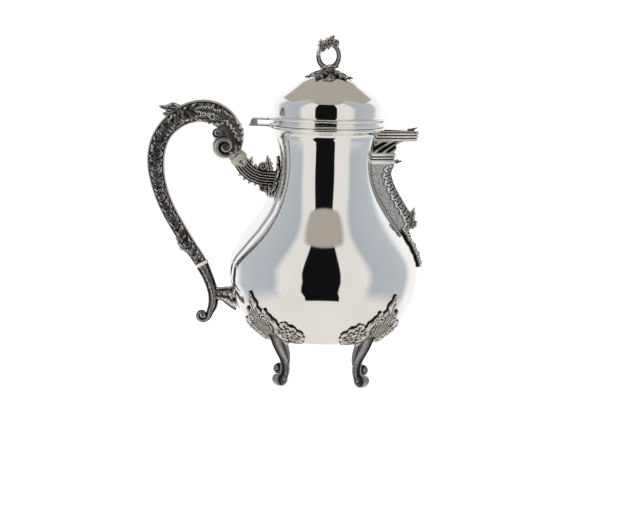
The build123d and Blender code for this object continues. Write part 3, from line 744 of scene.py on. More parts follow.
# ---- feet and their cartouches ----
CORNERS = {"front_left": 225.0, "front_right": 315.0, "rear_left": 135.0, "rear_right": 45.0}
CARTOUCHE_RISE = 3.0
CARTOUCHE_HALF = 39.0
CARTOUCHE_ENDS = (7.0, 76.0)          # lengths up the wall
CARTOUCHE_GROWTH = (1.07, 1.04)       # across and upwards
CARTOUCHE_LEAN = 0.17                 # sideways shift for each millimetre above the leg's root
CARTOUCHE_LEAVES = [
    (1.00, (-0.2, 16.0), 90, 52.0, 7.5, 0.0, 6), (0.90, (2.0, 26.0), 66, 29.0, 5.6, 0.16, 4),
    (0.80, (5.0, 30.0), 44, 17.0, 5.0, 0.22, 3), (0.70, (5.0, 18.5), 22, 15.0, 4.6, -0.1, 4),
    (0.62, (20.0, 37.0), 66, 6.5, 3.8, 0.0, 2), (0.62, (23.0, 35.0), 30, 5.5, 3.8, 0.0, 2),
    (0.62, (23.5, 30.5), -8, 5.0, 3.6, 0.0, 2), (0.62, (19.0, 27.0), -60, 5.5, 3.4, 0.0, 2),
]


def cartouche_height(s, t):
    """Relief of a cartouche: a tall leaf, side leaves, paired scrolls that end in flowers, a ribbed knee."""
    s, t = s / CARTOUCHE_GROWTH[0], t / CARTOUCHE_GROWTH[1]
    a = abs(s - CARTOUCHE_LEAN * max(0.0, t - 26.0))
    outer = [(11.8, 44.5), (12.6, 40.0), (11.0, 35.5), (8.2, 31.5), (7.6, 27.0), (10.0, 23.0)]
    inner = [(3.6, 44.0), (3.6, 37.0), (4.6, 31.0), (6.4, 24.5), (11.0, 19.8), (17.0, 18.6)]
    best = max(
        leaves(a, t, CARTOUCHE_LEAVES),
        rosette(a, t, (20.2, 31.8), 9.4, 7),
        scroll(a, t, (7.6, 46.0), 5.0, start=200, hand=-1),
        0.95 * scroll(a, t, (18.4, 21.2), 4.4, start=90),
        strand(a, t, outer, (1.9, 2.6)),
        0.95 * strand(a, t, inner, (1.5, 2.0)),
        strand(a, t, [(0.0, 15.0), (0.0, 26.0)], (5.5, 2.2), reeds=3),
    )
    return standing(best, 0.12 * CARTOUCHE_RISE, 0.88 * CARTOUCHE_RISE)


def foot_carve(travelled, turn):
    """Three reeds down the front of a leg, matted between them."""
    reed = abs(math.cos(1.5 * turn))
    return 0.35 * reed - 0.2, 0.15 + 0.6 * reed


def curl(middle, stations):
    """Stations of a rolled end, in an upright plane: (angle, reach, depth) about its eye."""
    rolled = []
    for angle, reach, depth in stations:
        turn = math.radians(angle)
        rolled.append((middle[0] + reach * math.cos(turn), middle[1] + reach * math.sin(turn), depth))
    return rolled


# A leg in the upright plane of its corner: (reach from the pot's axis, height, depth), root first.
LEG_EYE = (47.2, 5.6)
LEG_LINE = [
    (54.0, 45.0, 13.0), (50.2, 35.5, 11.0), (46.4, 28.2, 8.6),
    (43.2, 22.4, 6.8), (41.5, 17.0, 5.6), (41.3, 12.0, 4.8),
] + curl(LEG_EYE, [
    (165, 4.3, 3.8), (205, 3.9, 3.4), (250, 3.85, 3.4), (295, 3.85, 3.4), (340, 3.8, 3.4),
    (385, 3.6, 3.2), (430, 3.1, 2.9), (480, 2.5, 2.6), (535, 1.8, 2.2), (590, 1.1, 1.8),
])


def plain_button(name, middle, way, shares, relief, around, sideways=(0, 1, 0)):
    """A small turned button or collar: (distance along the way, radius) pairs about a middle."""
    stations = [tuple(Vector(middle) + way * along) + (2 * radius,) for along, radius in shares]

    def width(u):
        return shares[round(u * (len(shares) - 1))][1]

    return swept_bar(name, stations, width, lambda travelled, turn: (0.0, relief), 1, around, sideways)


def scroll_eye(name, middle, radius, half_width, way):
    """A short button through the eye of a scroll, domed at both ends."""
    domed = [(-1.0, 0.35), (-0.97, 0.8), (-0.9, 1.0), (0.9, 1.0), (0.97, 0.8), (1.0, 0.35)]
    shares = [(half_width * along, radius * size) for along, size in domed]
    upright = Vector((0, 0, 1)).cross(way).normalized()
    return plain_button(name, middle, way, shares, 0.7, 20, upright)


def make_feet():
    """Model one foot and two mirrored cartouches, and copy them to the other corners."""
    first = CORNERS["front_left"]
    outward = Vector((math.cos(math.radians(first)), math.sin(math.radians(first)), 0))
    across = Vector((-outward.y, outward.x, 0))
    stations = [(reach * outward.x, reach * outward.y, height, depth) for reach, height, depth in LEG_LINE]
    leg = swept_bar("leg", stations, lambda u: 4.0 + min(1.0, u * 1.5), foot_carve, 5, 36, across)
    eye_middle = outward * LEG_EYE[0] + Vector((0, 0, LEG_EYE[1]))
    foot = joined("foot_scroll_front_left", [leg, scroll_eye("eye", eye_middle, 1.7, 5.5, across)])
    for vertex in foot.data.vertices:
        vertex.co.z = max(vertex.co.z, 0.0)
    mounts = {}
    for near, hand in (("front_left", -1), ("front_right", 1)):
        def height(s, t):
            return cartouche_height(hand * s, t)

        name = "cartouche_" + near
        mounts[near] = on_pot_relief(name, CORNERS[near], CARTOUCHE_HALF, CARTOUCHE_ENDS, 0.45, height)
    for far, near in (("rear_right", "front_left"), ("rear_left", "front_right")):
        mounts[far] = turned_copy(mounts[near], "cartouche_" + far, 180)
    for corner, turn in CORNERS.items():
        own_foot = foot if turn == first else turned_copy(foot, "foot_scroll_" + corner, turn - first)
        place(own_foot, "pot", "cast_silver", DARK_CAST, "foot_" + corner)
        place(mounts[corner], "pot", "cast_silver", CAST, "mount_" + corner)


# ---- handle ----
UPPER_MIDDLE = (-72.1, 0, 183.5)      # middle of the upper insulator
UPPER_WAY = Vector((math.cos(math.radians(49.5)), 0, -math.sin(math.radians(49.5))))
GRIP_LINE = [             # (x, z, depth) from the upper insulator over the arch to the lower one
    (-77.6, 188.5, 13.0), (-76.4, 198.0, 16.4), (-78.4, 207.0, 17.4), (-84.8, 215.5, 18.2),
    (-94.5, 220.8, 18.6), (-105.5, 221.6, 18.2), (-117.0, 218.3, 17.0), (-127.3, 211.3, 15.6),
    (-134.9, 202.0, 15.0), (-139.2, 190.5, 14.9), (-140.2, 177.5, 14.4), (-138.2, 164.0, 13.2),
    (-134.2, 151.0, 12.5), (-128.2, 138.0, 12.2), (-120.4, 124.8, 12.0), (-112.0, 112.0, 11.4),
    (-105.2, 102.4, 11.0), (-101.4, 96.6, 10.8),
]
HEAD_LENGTH = 42.0        # of the smooth head of the grip, measured from the upper insulator
GRIP_HALF = 6.1
RAIL = 0.80               # share of the grip's depth where the edge rails begin
GROOVE = 0.66             # and the groove inside them


def grip_carve(travelled, turn):
    """Skin of the grip: smooth rails along both edges, overlapping leaves between them, and a plain head."""
    c = math.cos(turn)
    side = 1 if math.sin(turn) >= 0 else -1
    speck = 0.55 * grain(travelled, c * 7, side * 9, 1.9) + 0.45 * grain(travelled, c * 7, side * 9 + 40, 1.0)
    sway = 0.45 * grain(travelled, c * 5, side * 9 + 80, 6.0)
    if abs(c) > RAIL:
        ripple = 0.12 * grain(travelled, c * 9, 3, 2.6)
        return 0.15 + ripple, 0.74 + 0.6 * ripple
    if abs(c) > GROOVE:
        return -0.55, 0.05
    if travelled < HEAD_LENGTH and c < 0.12:
        return -0.25 + 0.05 * speck, 0.46 - 0.2 * abs(c + 0.3)
    slant = (travelled / 6.4 + 1.15 * abs(c - 0.1) + sway) % 1.0
    rib = math.exp(-(((c - 0.1) / 0.06) ** 2))
    vein = 0.5 + 0.5 * math.cos(2 * math.pi * (travelled / 2.1 + 3.2 * abs(c - 0.1) + 1.6 * sway))
    rise = (1 - slant) ** 0.7
    out = -0.62 + 0.72 * rise - 0.22 * vein * rise - 0.2 * rib + 0.42 * speck
    return out, 0.36 + 0.40 * rise - 0.22 * vein + 1.05 * speck


def head_height(x, z):
    """Half thickness of the scroll that ends the grip: a big volute, a small curl and the web between them."""
    return max(
        5.0 * min(1.0, strand(x, z, [(-84.6, 192.0), (-81.0, 203.0)], (9.0, 8.5)) * 1.25),
        6.6 * scroll(x, z, (-83.4, 193.0), 10.4, turns=1.5, start=150, hand=-1),
        5.4 * scroll(x, z, (-90.0, 203.4), 4.4, turns=1.1, start=20),
        4.6 * leaf(x, z, (-83.0, 207.5), 158, 14.0, 3.4, bend=-0.2, lobes=3),
    )


SPRAY_LEAVES = [
    (1.0, (-70.6, 198.0), 100, 22.0, 4.2, 0.18, 5), (1.0, (-73.0, 207.0), 128, 22.0, 4.0, 0.1, 5),
    (1.0, (-79.5, 215.0), 150, 21.0, 4.2, 0.12, 5), (1.0, (-84.0, 213.2), 172, 17.0, 3.4, 0.16, 4),
    (1.0, (-91.0, 221.5), 170, 20.0, 4.2, 0.1, 5), (1.0, (-95.0, 216.5), 186, 16.0, 3.2, -0.1, 4),
]
# Pointed tips that break the outer edge of the grip; the first value is half their thickness.
SPUR_LEAVES = [
    (4.6, (-115.5, 223.2), 186, 23.0, 4.6, -0.17, 2), (3.8, (-124.5, 219.5), 196, 11.0, 3.6, -0.2, 2),
    (4.4, (-112.0, 104.5), 124, 16.0, 4.0, 0.12, 3),
]


def spray_height(x, z):
    """Leaf spray over the top right of the arch, standing proud of both faces."""
    curled = 0.95 * scroll(x, z, (-97.5, 214.6), 2.6, turns=1.0, start=180)
    return standing(max(leaves(x, z, SPRAY_LEAVES), curled), GRIP_HALF - 0.9, 1.7)


def spur_height(x, z):
    """Half thickness of the grip's spurs."""
    return leaves(x, z, SPUR_LEAVES)


def make_grip():
    """The scroll grip with its volute, leaf spray, spurs and the cup over the upper insulator."""
    line = [(x, 0, z, depth) for x, z, depth in GRIP_LINE]
    bar = swept_bar("grip_bar", line, lambda u: GRIP_HALF, grip_carve, 22, 88, boxy=0.72)
    head = flat_relief("grip_head", (-96.0, 181.0), (26.0, 32.0), 0.4, head_height)
    spray = flat_relief("grip_spray", (-118.0, 196.0), (50.0, 35.0), 0.42, spray_height, 1.2)
    spurs = [
        flat_relief("upper_spur", (-139.0, 212.0), (24.0, 16.0), 0.4, spur_height),
        flat_relief("lower_spur", (-127.0, 102.0), (16.0, 18.0), 0.4, spur_height),
    ]
    rings = [(-9.5, 5.6), (-5.0, 6.0), (-4.2, 6.9), (-3.4, 6.9), (-3.0, 6.2), (-2.3, 6.6), (-2.3, 6.2)]
    cup = plain_button("upper_cup", UPPER_MIDDLE, UPPER_WAY, rings, 0.72, 48)
    return joined("grip_carved", [bar, head, spray, *spurs, cup])


def lower_scroll_carve(travelled, turn):
    """Reeds along the short scroll below the grip, matted between them."""
    reed = abs(math.cos(2 * turn))
    speck = grain(travelled, 4 * math.cos(turn), 4 * math.sin(turn), 1.3)
    return 0.35 * reed - 0.25 + 0.18 * speck, 0.12 + 0.62 * reed + 0.35 * speck


def make_lower_scroll():
    """Short scroll from the lower insulator, rolled outwards at its foot."""
    middle = (-98.8, 52.6)
    line = [(-99.9, 93.6, 10.8), (-96.4, 87.0, 9.4), (-92.6, 78.0, 8.8), (-90.4, 69.5, 8.6), (-90.6, 61.5, 8.0)]
    line += curl(middle, [
        (25, 6.6, 6.2), (-15, 5.0, 4.6), (-60, 4.4, 3.8), (-105, 4.3, 3.6), (-150, 4.2, 3.4),
        (-195, 3.9, 3.2), (-240, 3.3, 3.0), (-290, 2.6, 2.6), (-345, 1.7, 2.2), (-400, 0.9, 1.8),
    ])
    stations = [(x, 0, z, depth) for x, z, depth in line]
    bar = swept_bar("scroll_bar", stations, lambda u: 4.7 + 0.5 * u, lower_scroll_carve, 6, 48)
    eye = scroll_eye("scroll_eye", (middle[0], 0, middle[1]), 1.9, 5.9, Vector((0, 1, 0)))
    return joined("lower_scroll_carved", [bar, eye])


def arm_carve(travelled, turn):
    """Bark-like leafwork on the arm that carries the handle."""
    stripe = 0.5 + 0.5 * math.cos(7 * turn + 0.9 * grain(travelled, 0, 0, 4.0))
    speck = grain(1.4 * travelled, 6 * math.cos(turn), 6 * math.sin(turn), 1.4)
    return 0.45 * stripe - 0.3 + 0.4 * speck, 0.3 + 0.5 * stripe + 0.5 * speck


def make_arm():
    """Short arm from the pot to the lower scroll, flaring over the wall."""
    line = [
        (-92.0, 0, 70.6, 9.0), (-87.0, 0, 70.7, 10.6), (-82.0, 0, 70.6, 12.4),
        (-77.5, 0, 69.6, 16.0), (-72.5, 0, 68.4, 20.0), (-69.0, 0, 67.6, 22.0),
    ]
    return swept_bar("handle_arm", line, lambda u: 4.4 + 5.2 * u * u, arm_carve, 8, 64)


# Leaf tips along both edges of the bracket; the first value is half their thickness.
BRACKET_LEAVES = [
    (4.0, (-64.5, 174.5), 66, 11.5, 2.7, 0.1, 3), (4.2, (-45.5, 171.5), 100, 15.8, 3.0, 0.04, 4),
    (3.8, (-57.5, 172.0), 96, 7.6, 2.4, 0.0, 2), (4.0, (-47.4, 167.0), -93, 15.0, 3.4, 0.04, 4),
    (4.0, (-66.0, 175.0), -133, 8.6, 2.7, 0.0, 2), (4.0, (-63.0, 172.0), -126, 8.8, 2.7, 0.0, 2),
    (4.0, (-59.5, 169.8), -118, 8.6, 2.7, 0.0, 2), (4.0, (-55.5, 168.2), -112, 8.2, 2.6, 0.0, 2),
]
BRACKET_LINE = [
    (-69.6, 179.6), (-66.0, 174.8), (-60.6, 170.6), (-54.0, 168.2), (-46.0, 167.4), (-37.0, 167.4),
]


def bracket_height(x, z):
    """Half thickness of the upper bracket: a reeded scroll with curls and leaf tips along both edges."""
    return max(
        leaves(x, z, BRACKET_LEAVES),
        6.0 * strand(x, z, BRACKET_LINE, (6.4, 6.6), reeds=3),
        4.6 * scroll(x, z, (-51.9, 177.3), 3.7, turns=1.1, start=60, hand=-1),
        4.4 * scroll(x, z, (-51.3, 159.6), 3.9, turns=1.1, start=240),
    )


PLATE_RISE = 2.6


def plate_height(s, t):
    """Relief of the bracket's plate on the neck."""
    a = abs(s)
    top, middle = wall_length(186.0), wall_length(166.0)
    rows = [
        (1.0, (-0.2, middle), 90, top - middle, 6.0, 0.0, 4), (1.0, (-0.2, middle), -90, 15.0, 5.4, 0.0, 4),
        (0.9, (2.0, middle - 2), 40, 14.0, 4.0, 0.2, 3), (0.8, (3.0, middle - 4), -40, 12.0, 3.6, 0.0, 3),
    ]
    best = max(leaves(a, t, rows), 0.9 * rosette(a, t, (10.0, middle - 6), 4.4, 5))
    return standing(best, 0.15 * PLATE_RISE, 0.85 * PLATE_RISE)


def make_bracket():
    """Upper bracket with its plate and the cup under the insulator."""
    web = flat_relief("bracket_web", (-75.0, 150.0), (38.0, 39.0), 0.34, bracket_height, 1.0)
    top, bottom = wall_length(188.0), wall_length(149.0)
    plate = on_pot_relief("bracket_plate", 180.0, 15.0, (bottom, top), 0.45, plate_height)
    rings = [(2.3, 6.4), (2.3, 6.9), (3.2, 6.9), (3.6, 6.2), (5.2, 6.0), (8.0, 4.8)]
    cup = plain_button("bracket_cup", UPPER_MIDDLE, UPPER_WAY, rings, 0.72, 48)
    return joined("upper_bracket", [web, plate, cup])


# ---- finial ----
def finial_leaf(u, v):
    """A drooping leaf along +X: place and relief; its tip turns up clear of the crown."""
    along = 2.5 + 17.6 * u
    across = v - 0.5
    lobes = 1 + 0.18 * math.cos(8 * math.pi * u)
    half = 4.7 * math.sin(math.pi * min(0.995, 0.06 + 0.94 * u) ** 0.8) ** 0.7 * lobes
    droop = 258.2 - 0.02 * along * along + 1.5 * max(0.0, u - 0.82) / 0.18 - 2.0 * abs(across) * u
    vein = 0.5 + 0.5 * math.cos(2 * math.pi * (4 * u - 0.9 * abs(across)))
    rib = math.exp(-((across * 2 * half / 0.6) ** 2))
    height = 0.75 - 0.6 * vein * abs(2 * across) - 0.4 * rib
    return (along, 2 * half * across, droop + 0.5 * height), height


def thickened(piece, thickness):
    """Give an open sheet its metal and settle it."""
    fresh()
    bpy.context.view_layer.objects.active = piece
    wall = piece.modifiers.new("metal", "SOLIDIFY")
    wall.thickness = thickness * MM
    wall.offset = 0
    bpy.ops.object.modifier_apply(modifier=wall.name)
    return settle(piece, 50.0)


def make_leaf_base():
    """Ring of drooping leaves over the crown, every other one shorter and lower."""
    leaf_sheet = shaped_sheet("finial_leaf", finial_leaf, 30, 16, finish=False)
    first = thickened(leaf_sheet, 0.8)
    ring = [first]
    for index in range(1, 9):
        copy = turned_copy(first, "finial_leaf", 40.0 * index)
        short = 0.86 if index % 2 else 1.0
        for vertex in copy.data.vertices:
            vertex.co.x *= short
            vertex.co.y *= short
            vertex.co.z -= 0.0006 * (index % 2)
        ring.append(copy)
    outline = [(0, 254.3), (6.2, 254.0), (6.6, 255.6), (5.4, 257.4), (3.8, 258.6), (3.9, 259.6), (0, 259.8)]
    hub = turned_piece("finial_hub", outline, 48)
    hub.data.attributes.new("relief", "FLOAT", "POINT")
    for value in hub.data.attributes["relief"].data:
        value.value = 0.5
    return joined("finial_leaves", ring + [hub])


RING_Z = 269.4
RING_HALF = 2.9
CREST_LEAVES = [
    (3.6, (-6.6, 275.4), 50, 15.8, 2.9, -0.08, 5), (3.8, (-5.8, 276.6), 24, 14.2, 2.7, 0.02, 5),
    (3.4, (-7.4, 274.6), 80, 9.0, 2.2, 0.1, 3), (3.6, (1.0, 279.4), 64, 7.6, 2.1, 0.0, 3),
    (3.0, (-3.0, 278.6), -108, 6.8, 1.9, 0.0, 3), (3.0, (-0.4, 278.6), -84, 4.2, 1.6, 0.0, 2),
]
KNOT_LEAVES = [(4.6, (-6.5, 258.6), 8, 15.5, 2.6, 0.0, 4), (4.2, (0.0, 257.2), 60, 6.8, 2.2, 0.0, 3)]


def ring_carve(travelled, turn):
    """Reeds along the ring, notched like bark."""
    reed = abs(math.cos(2 * turn))
    notch = 0.5 + 0.5 * math.cos(2 * math.pi * travelled / 2.1)
    return 0.3 * reed - 0.15 - 0.12 * notch, 0.25 + 0.55 * reed - 0.2 * notch


def crest_height(x, z):
    """Half thickness of the leafy crest on the ring."""
    stem = [(-8.0, 271.0), (-7.0, 275.4), (-3.2, 278.4), (2.0, 279.6), (6.6, 278.0)]
    return max(
        leaves(x, z, CREST_LEAVES),
        3.8 * scroll(x, z, (5.8, 280.6), 2.8, turns=1.0, start=200),
        3.4 * strand(x, z, stem, (1.6, 1.9)),
    )


def knot_height(x, z):
    """Half thickness of the knot of leaves where the ring springs."""
    return leaves(x, z, KNOT_LEAVES)


def make_finial():
    """Open ring with a crest of leaves and a knot where it springs from the leaves."""
    stations = []
    for step in range(25):
        turn = 2 * math.pi * (step / 24) - math.pi / 2
        thick = 3.6 + 1.0 * max(0.0, -math.sin(turn))
        stations.append((8.4 * math.cos(turn), 0, RING_Z + 9.9 * math.sin(turn), thick))
    ring = swept_bar("ring", stations, lambda u: RING_HALF, ring_carve, 4, 32)
    crest = flat_relief("crest", (-11.0, 269.0), (22.0, 18.6), 0.26, crest_height, 1.4)
    knot = flat_relief("knot", (-8.0, 255.0), (18.0, 9.0), 0.3, knot_height)
    return joined("finial_carved", [ring, crest, knot])


# ---- spout ----
SPOUT_HALF = 12.0
SHEATH_FOOT = low("spout_shell")[2]
COLLAR_Z = low("spout_collar")[2]
FLUTE_Z = low("spout_fluted_band")[2]
LIP_Z = low("spout_lip")[2]
LIP_TOP = high("spout_lip")[2]
LIP_REACH = high("spout_lip")[0]
# How far the spout's ridge stands off the pot: (height, distance).
SHEATH_KEEL = [
    (SHEATH_FOOT, 0.5), (128.0, 8.5), (134.0, 15.0), (142.0, 17.0),
    (154.0, 16.5), (165.0, 15.0), (174.0, 14.2), (COLLAR_Z, 17.8),
]
COLLAR_KEEL = [(COLLAR_Z, 18.4), (FLUTE_Z, 17.8)]
FLUTE_KEEL = [(FLUTE_Z, 17.0), (196.0, 18.4), (LIP_Z, 21.8)]


def keel_point(share, height, ridge, grow=0.0):
    """Point of the spout's plan; the share runs from -1 at one root over 0 at the ridge to 1 at the other."""
    wall = pot_radius(height)
    back = wall - 9.0
    nose = wall + ridge + 1.5 * grow
    side = SPOUT_HALF + grow
    t = abs(share)
    ridge_part, middle_part, root_part = 2 * (t - 0.5) * (t - 1), -4 * t * (t - 1), 2 * t * (t - 0.5)
    x = nose * ridge_part + (back + (nose - back) * 0.55) * middle_part + back * root_part
    y = side * 0.62 * middle_part + side * root_part
    return Vector((x, math.copysign(y, share), height))


def root_share(height, ridge):
    """Share of the plan at which the spout's side enters the pot's wall."""
    share = 1.0
    while share > 0.1 and math.hypot(*keel_point(share, height, ridge)[:2]) < pot_radius(height) - 0.7:
        share -= 0.01
    return share


def keel_wall(name, keel, section, grooves=None, around=96):
    """A wall bent round the spout's plan; section is its own closed outline of (height, outwards)."""

    def shape(u, v):
        height, out = section[round(v * (len(section) - 1))]
        ridge = along_table(keel, height)
        share = (2 * u - 1) * root_share(height, ridge)
        place = keel_point(share, height, ridge, out)
        sunk = grooves(place, share, height) if grooves and out > -1.0 else 0.0
        if sunk:
            place = keel_point(share, height, ridge, out - sunk)
        return place, max(0.0, min(1.0, 0.72 + 0.5 * out - 0.8 * sunk))

    return shaped_sheet(name, shape, around, len(section) - 1, caps=True, angle=40.0)


def closed_section(outside, thickness):
    """Close an outer outline of (height, outwards) with a plain inner face."""
    inner = [(height, -thickness) for height, _ in reversed(outside)]
    return outside + inner + [outside[0]]


def make_sheath():
    """Sheath of the spout below the collar, matted with a punch."""
    outside = [(SHEATH_FOOT + (COLLAR_Z - SHEATH_FOOT) * step / 44, 0.0) for step in range(45)]
    return keel_wall("spout_sheath", SHEATH_KEEL, closed_section(outside, 1.3))


def make_collar():
    """Collar of the spout: a flared foot and two reeds."""
    steps = [
        (0.0, 0.3), (1.0, 0.9), (2.2, 0.9), (3.2, 0.2), (3.5, -0.7), (3.9, -0.7), (4.4, 0.3),
        (5.2, 0.3), (5.7, -0.6), (6.1, -0.6), (6.6, 0.4), (7.6, 0.4), (8.4, -0.1),
    ]
    outside = [(COLLAR_Z + up, out) for up, out in steps]
    return keel_wall("spout_collar_reeded", COLLAR_KEEL, closed_section(outside, 1.5))


def flute(place, share, height):
    """Slanting flutes cut into the hollow band under the lip."""
    along = 15.5 * abs(share) + 0.62 * (height - FLUTE_Z)
    wave = math.cos(2 * math.pi * along / 4.6)
    fade = min(1.0, (height - FLUTE_Z - 0.4) / 1.2, (LIP_Z - 0.5 - height) / 1.2)
    return 1.25 * max(0.0, fade) * max(0.0, min(1.0, 0.5 + 1.6 * wave))


def make_flutes():
    """Hollow band between collar and lip."""
    shares = [step / 20 for step in range(21)]
    outside = [(FLUTE_Z + (LIP_Z - FLUTE_Z) * share, -0.35 * math.sin(math.pi * share)) for share in shares]
    return keel_wall("spout_flutes", FLUTE_KEEL, closed_section(outside, 2.4), flute, around=220)


def make_lip():
    """Reeded lip, cut off level."""
    rise = LIP_TOP - LIP_Z
    keel = [(LIP_Z, LIP_REACH - 2.0 - pot_radius(LIP_Z)), (LIP_TOP, LIP_REACH - 0.3 - pot_radius(LIP_TOP))]
    outside = [(LIP_Z, -0.4)]
    for step in range(1, 48):
        share = step / 48
        groove = (0.5 + 0.5 * math.cos(2 * math.pi * 3.5 * share)) ** 3
        outside.append((LIP_Z + rise * share, 0.15 - 1.05 * groove))
    outside.append((LIP_TOP, -0.3))
    return keel_wall("spout_lip_reeded", keel, closed_section(outside, 1.6))


def side_point(aside, height, grow):
    """Point of the sheath a distance from its ridge, measured round the plan."""
    ridge = along_table(SHEATH_KEEL, height)
    spots = [keel_point(share / 16, height, ridge, grow) for share in range(17)]
    left = abs(aside)
    for before, after in zip(spots, spots[1:]):
        run = (after - before).length
        if left <= run:
            spot = before + (after - before) * (left / run)
            return Vector((spot.x, math.copysign(spot.y, aside), spot.z))
        left -= run
    return spots[-1]


GARLAND_HALF = 12.5
GARLAND_LOW = 129.0
GARLAND_HIGH = COLLAR_Z - 0.6
RAIL_HALF = 0.85          # of the beaded rails along the spout's roots
RAIL_STEPS = 58           # 1 mm each


def garland_height(a, z):
    """Scalloped leaves that lean back from the ridge, with a flower at the root of each."""
    parts = [0.75 * strand(a, z, [(0.0, GARLAND_LOW + 2), (0.0, GARLAND_HIGH)], (2.6, 2.0))]
    for index in range(9):
        root = GARLAND_HIGH - 2.5 - 5.4 * index
        size = 0.86 + 0.05 * min(index, 5)
        parts.append(leaf(a, z, (0.4, root), -18 - 3 * index, 10.4 * size, 3.9 * size, bend=0.1, lobes=3))
        parts.append(1.1 * rosette(a, z, (3.2, root + 0.6), 1.9, 5))
    return standing(max(parts), 1.25 * 0.25, 1.25 * 0.75)


def rail_carve(travelled, turn):
    """Beads along the spout's root."""
    bead = math.cos(2 * math.pi * travelled / 1.9)
    return 0.28 * bead, 0.5 + 0.45 * bead


def make_rail(side, name):
    """Beaded rail where one flank of the spout meets the pot."""
    stations = []
    for step in range(RAIL_STEPS + 1):
        height = GARLAND_LOW + step
        keel = SHEATH_KEEL if height < COLLAR_Z else FLUTE_KEEL
        ridge = along_table(keel, height)
        root = keel_point(root_share(height, ridge) - 0.02, height, ridge, 0.1)
        stations.append((root.x, side * root.y, height, 2 * RAIL_HALF))
    return swept_bar(name, stations, lambda u: RAIL_HALF, rail_carve, 4, 12)


def make_garland(side, name):
    """Garland along one flank of the spout."""

    def surface(u, v):
        aside = side * (0.15 + GARLAND_HALF * u)
        height = GARLAND_LOW + (GARLAND_HIGH - GARLAND_LOW) * v
        spot = side_point(aside, height, 0.02)
        way = (side_point(aside, height, 1.0) - spot).normalized()
        return spot, way

    def lift(u, v):
        return garland_height(GARLAND_HALF * u, GARLAND_LOW + (GARLAND_HIGH - GARLAND_LOW) * v)

    sheet = carved_sheet(name, surface, lift, 34, 140, 2.6)
    return joined(name, [sheet, make_rail(side, name + "_rail")])


def drop_height(s, t):
    """Flowers and leaves that hang below the spout."""
    a = abs(s)
    rows = [(121.5, 5.6), (113.5, 5.0), (106.0, 4.2), (100.2, 3.0)]
    parts = []
    for height, radius in rows:
        middle = wall_length(height)
        parts.append(5.2 * rosette(s, t, (0.0, middle), radius))
        parts.append(3.8 * leaf(a, t, (1.5, middle - 1.0), -28, radius + 2.6, 2.8, lobes=3))
        parts.append(4.4 * leaf(a, t, (1.5, middle + 2.0), 38, radius + 2.4, 2.8, lobes=3))
    parts.append(5.4 * leaf(a, t, (-0.2, wall_length(119.0)), 88, 13.0, 5.0, lobes=4))
    return max(parts)


TIP_LEAVES = [(2.6, (70.0, 131.0), 76, 16.0, 3.2, 0.0, 3), (3.0, (71.5, 128.5), 52, 8.5, 2.4, 0.0, 2)]
# Loose leaf tips at the collar and at the end of the lip; the first value is half their thickness.
SPRIG_LEAVES = [
    (1.7, (55.0, 183.4), 6, 8.0, 1.7, 0.0, 2),
    (1.0, (66.5, LIP_TOP - 0.6), 24, 9.5, 1.2, 0.0, 2),
    (1.0, (66.0, LIP_TOP - 0.6), 50, 4.2, 1.0, 0.0, 2),
]


def tip_height(x, z):
    """Half thickness of the leaf that stands clear of the wall under the spout."""
    return leaves(x, z, TIP_LEAVES)


def sprig_height(x, z):
    """Half thickness of the loose leaf tips."""
    return leaves(x, z, SPRIG_LEAVES)


def make_drop():
    """Cluster of flowers under the spout, with one leaf that stands clear of the wall."""
    ends = (wall_length(97.0), wall_length(131.5))
    # foot=0.4 paints the drop's side walls a lighter grey than the default painted dark.
    cluster = on_pot_relief("drop", 0.0, 9.0, ends, 0.36, drop_height, 0.6, foot=0.4)
    tips = flat_relief("drop_tips", (64.0, 126.0), (16.0, 24.0), 0.34, tip_height)
    return joined("spout_flowers", [cluster, tips])


def make_sprigs():
    """Loose leaf tips at the collar and the end of the lip."""
    return flat_relief("spout_sprigs", (54.0, 180.0), (22.5, 35.0), 0.26, sprig_height, 1.4)


make_feet()
place(make_grip(), "pot", "handle_silver", HANDLE, "handle_grip")
place(make_lower_scroll(), "pot", "handle_silver", HANDLE, "handle_lower_scroll")
place(make_arm(), "pot", "cast_silver", CAST, "handle_lower_socket")
place(make_bracket(), "pot", "cast_silver", CAST, "handle_upper_socket")
place(make_leaf_base(), "lid", "cast_silver", CAST, "finial_leaf_base")
place(make_finial(), "lid", "cast_silver", CAST, "finial_ring")
place(make_sheath(), "pot", "matted_silver", STIPPLED, "spout_shell")
place(make_collar(), "pot", "cast_silver", CAST, "spout_collar")
place(make_flutes(), "pot", "cast_silver", CAST, "spout_fluted_band")
place(make_lip(), "pot", "cast_silver", CAST, "spout_lip")
place(make_garland(-1, "garland_front"), "pot", "cast_silver", CAST, "spout_garland_front")
place(make_garland(1, "garland_rear"), "pot", "cast_silver", CAST, "spout_garland_rear")
place(make_drop(), "pot", "cast_silver", CAST, "spout_flower_drop")
place(make_sprigs(), "pot", "cast_silver", CAST)

# ---- CAD pieces that stay, with their finishes ----
KEPT = {
    "handle_upper_insulator": BONE_DARK, "handle_lower_insulator": BONE_PALE,
    "hinge_body_leaf": WORN, "hinge_lid_leaf": WORN, "hinge_pin": WORN,
}
for name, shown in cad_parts.items():
    shown.data.materials.clear()
    shown.data.materials.append(KEPT.get(name, POLISHED))


# ---- floor, light and camera ----
VIEW_SLOPE = math.radians(6)      # how far the picture looks down on the pot; the studio hangs lower by that
FLOOR_SIZE = 60.0                 # metres
# Walls from in front of the pot round to behind it: (share of half a turn, colour).
WALL_TONES = [
    (0.0, (0.78, 0.76, 0.73)), (0.30, (0.80, 0.78, 0.75)), (0.36, (0.44, 0.48, 0.52)),
    (0.66, (0.50, 0.54, 0.58)), (0.74, (0.95, 0.95, 0.96)), (1.0, (1.0, 1.0, 1.0)),
]
CARD_TONE = (0.42, 0.39, 0.34)
GROUND_TONE = (0.80, 0.77, 0.72)
GAP_TONE = (0.006, 0.006, 0.007)


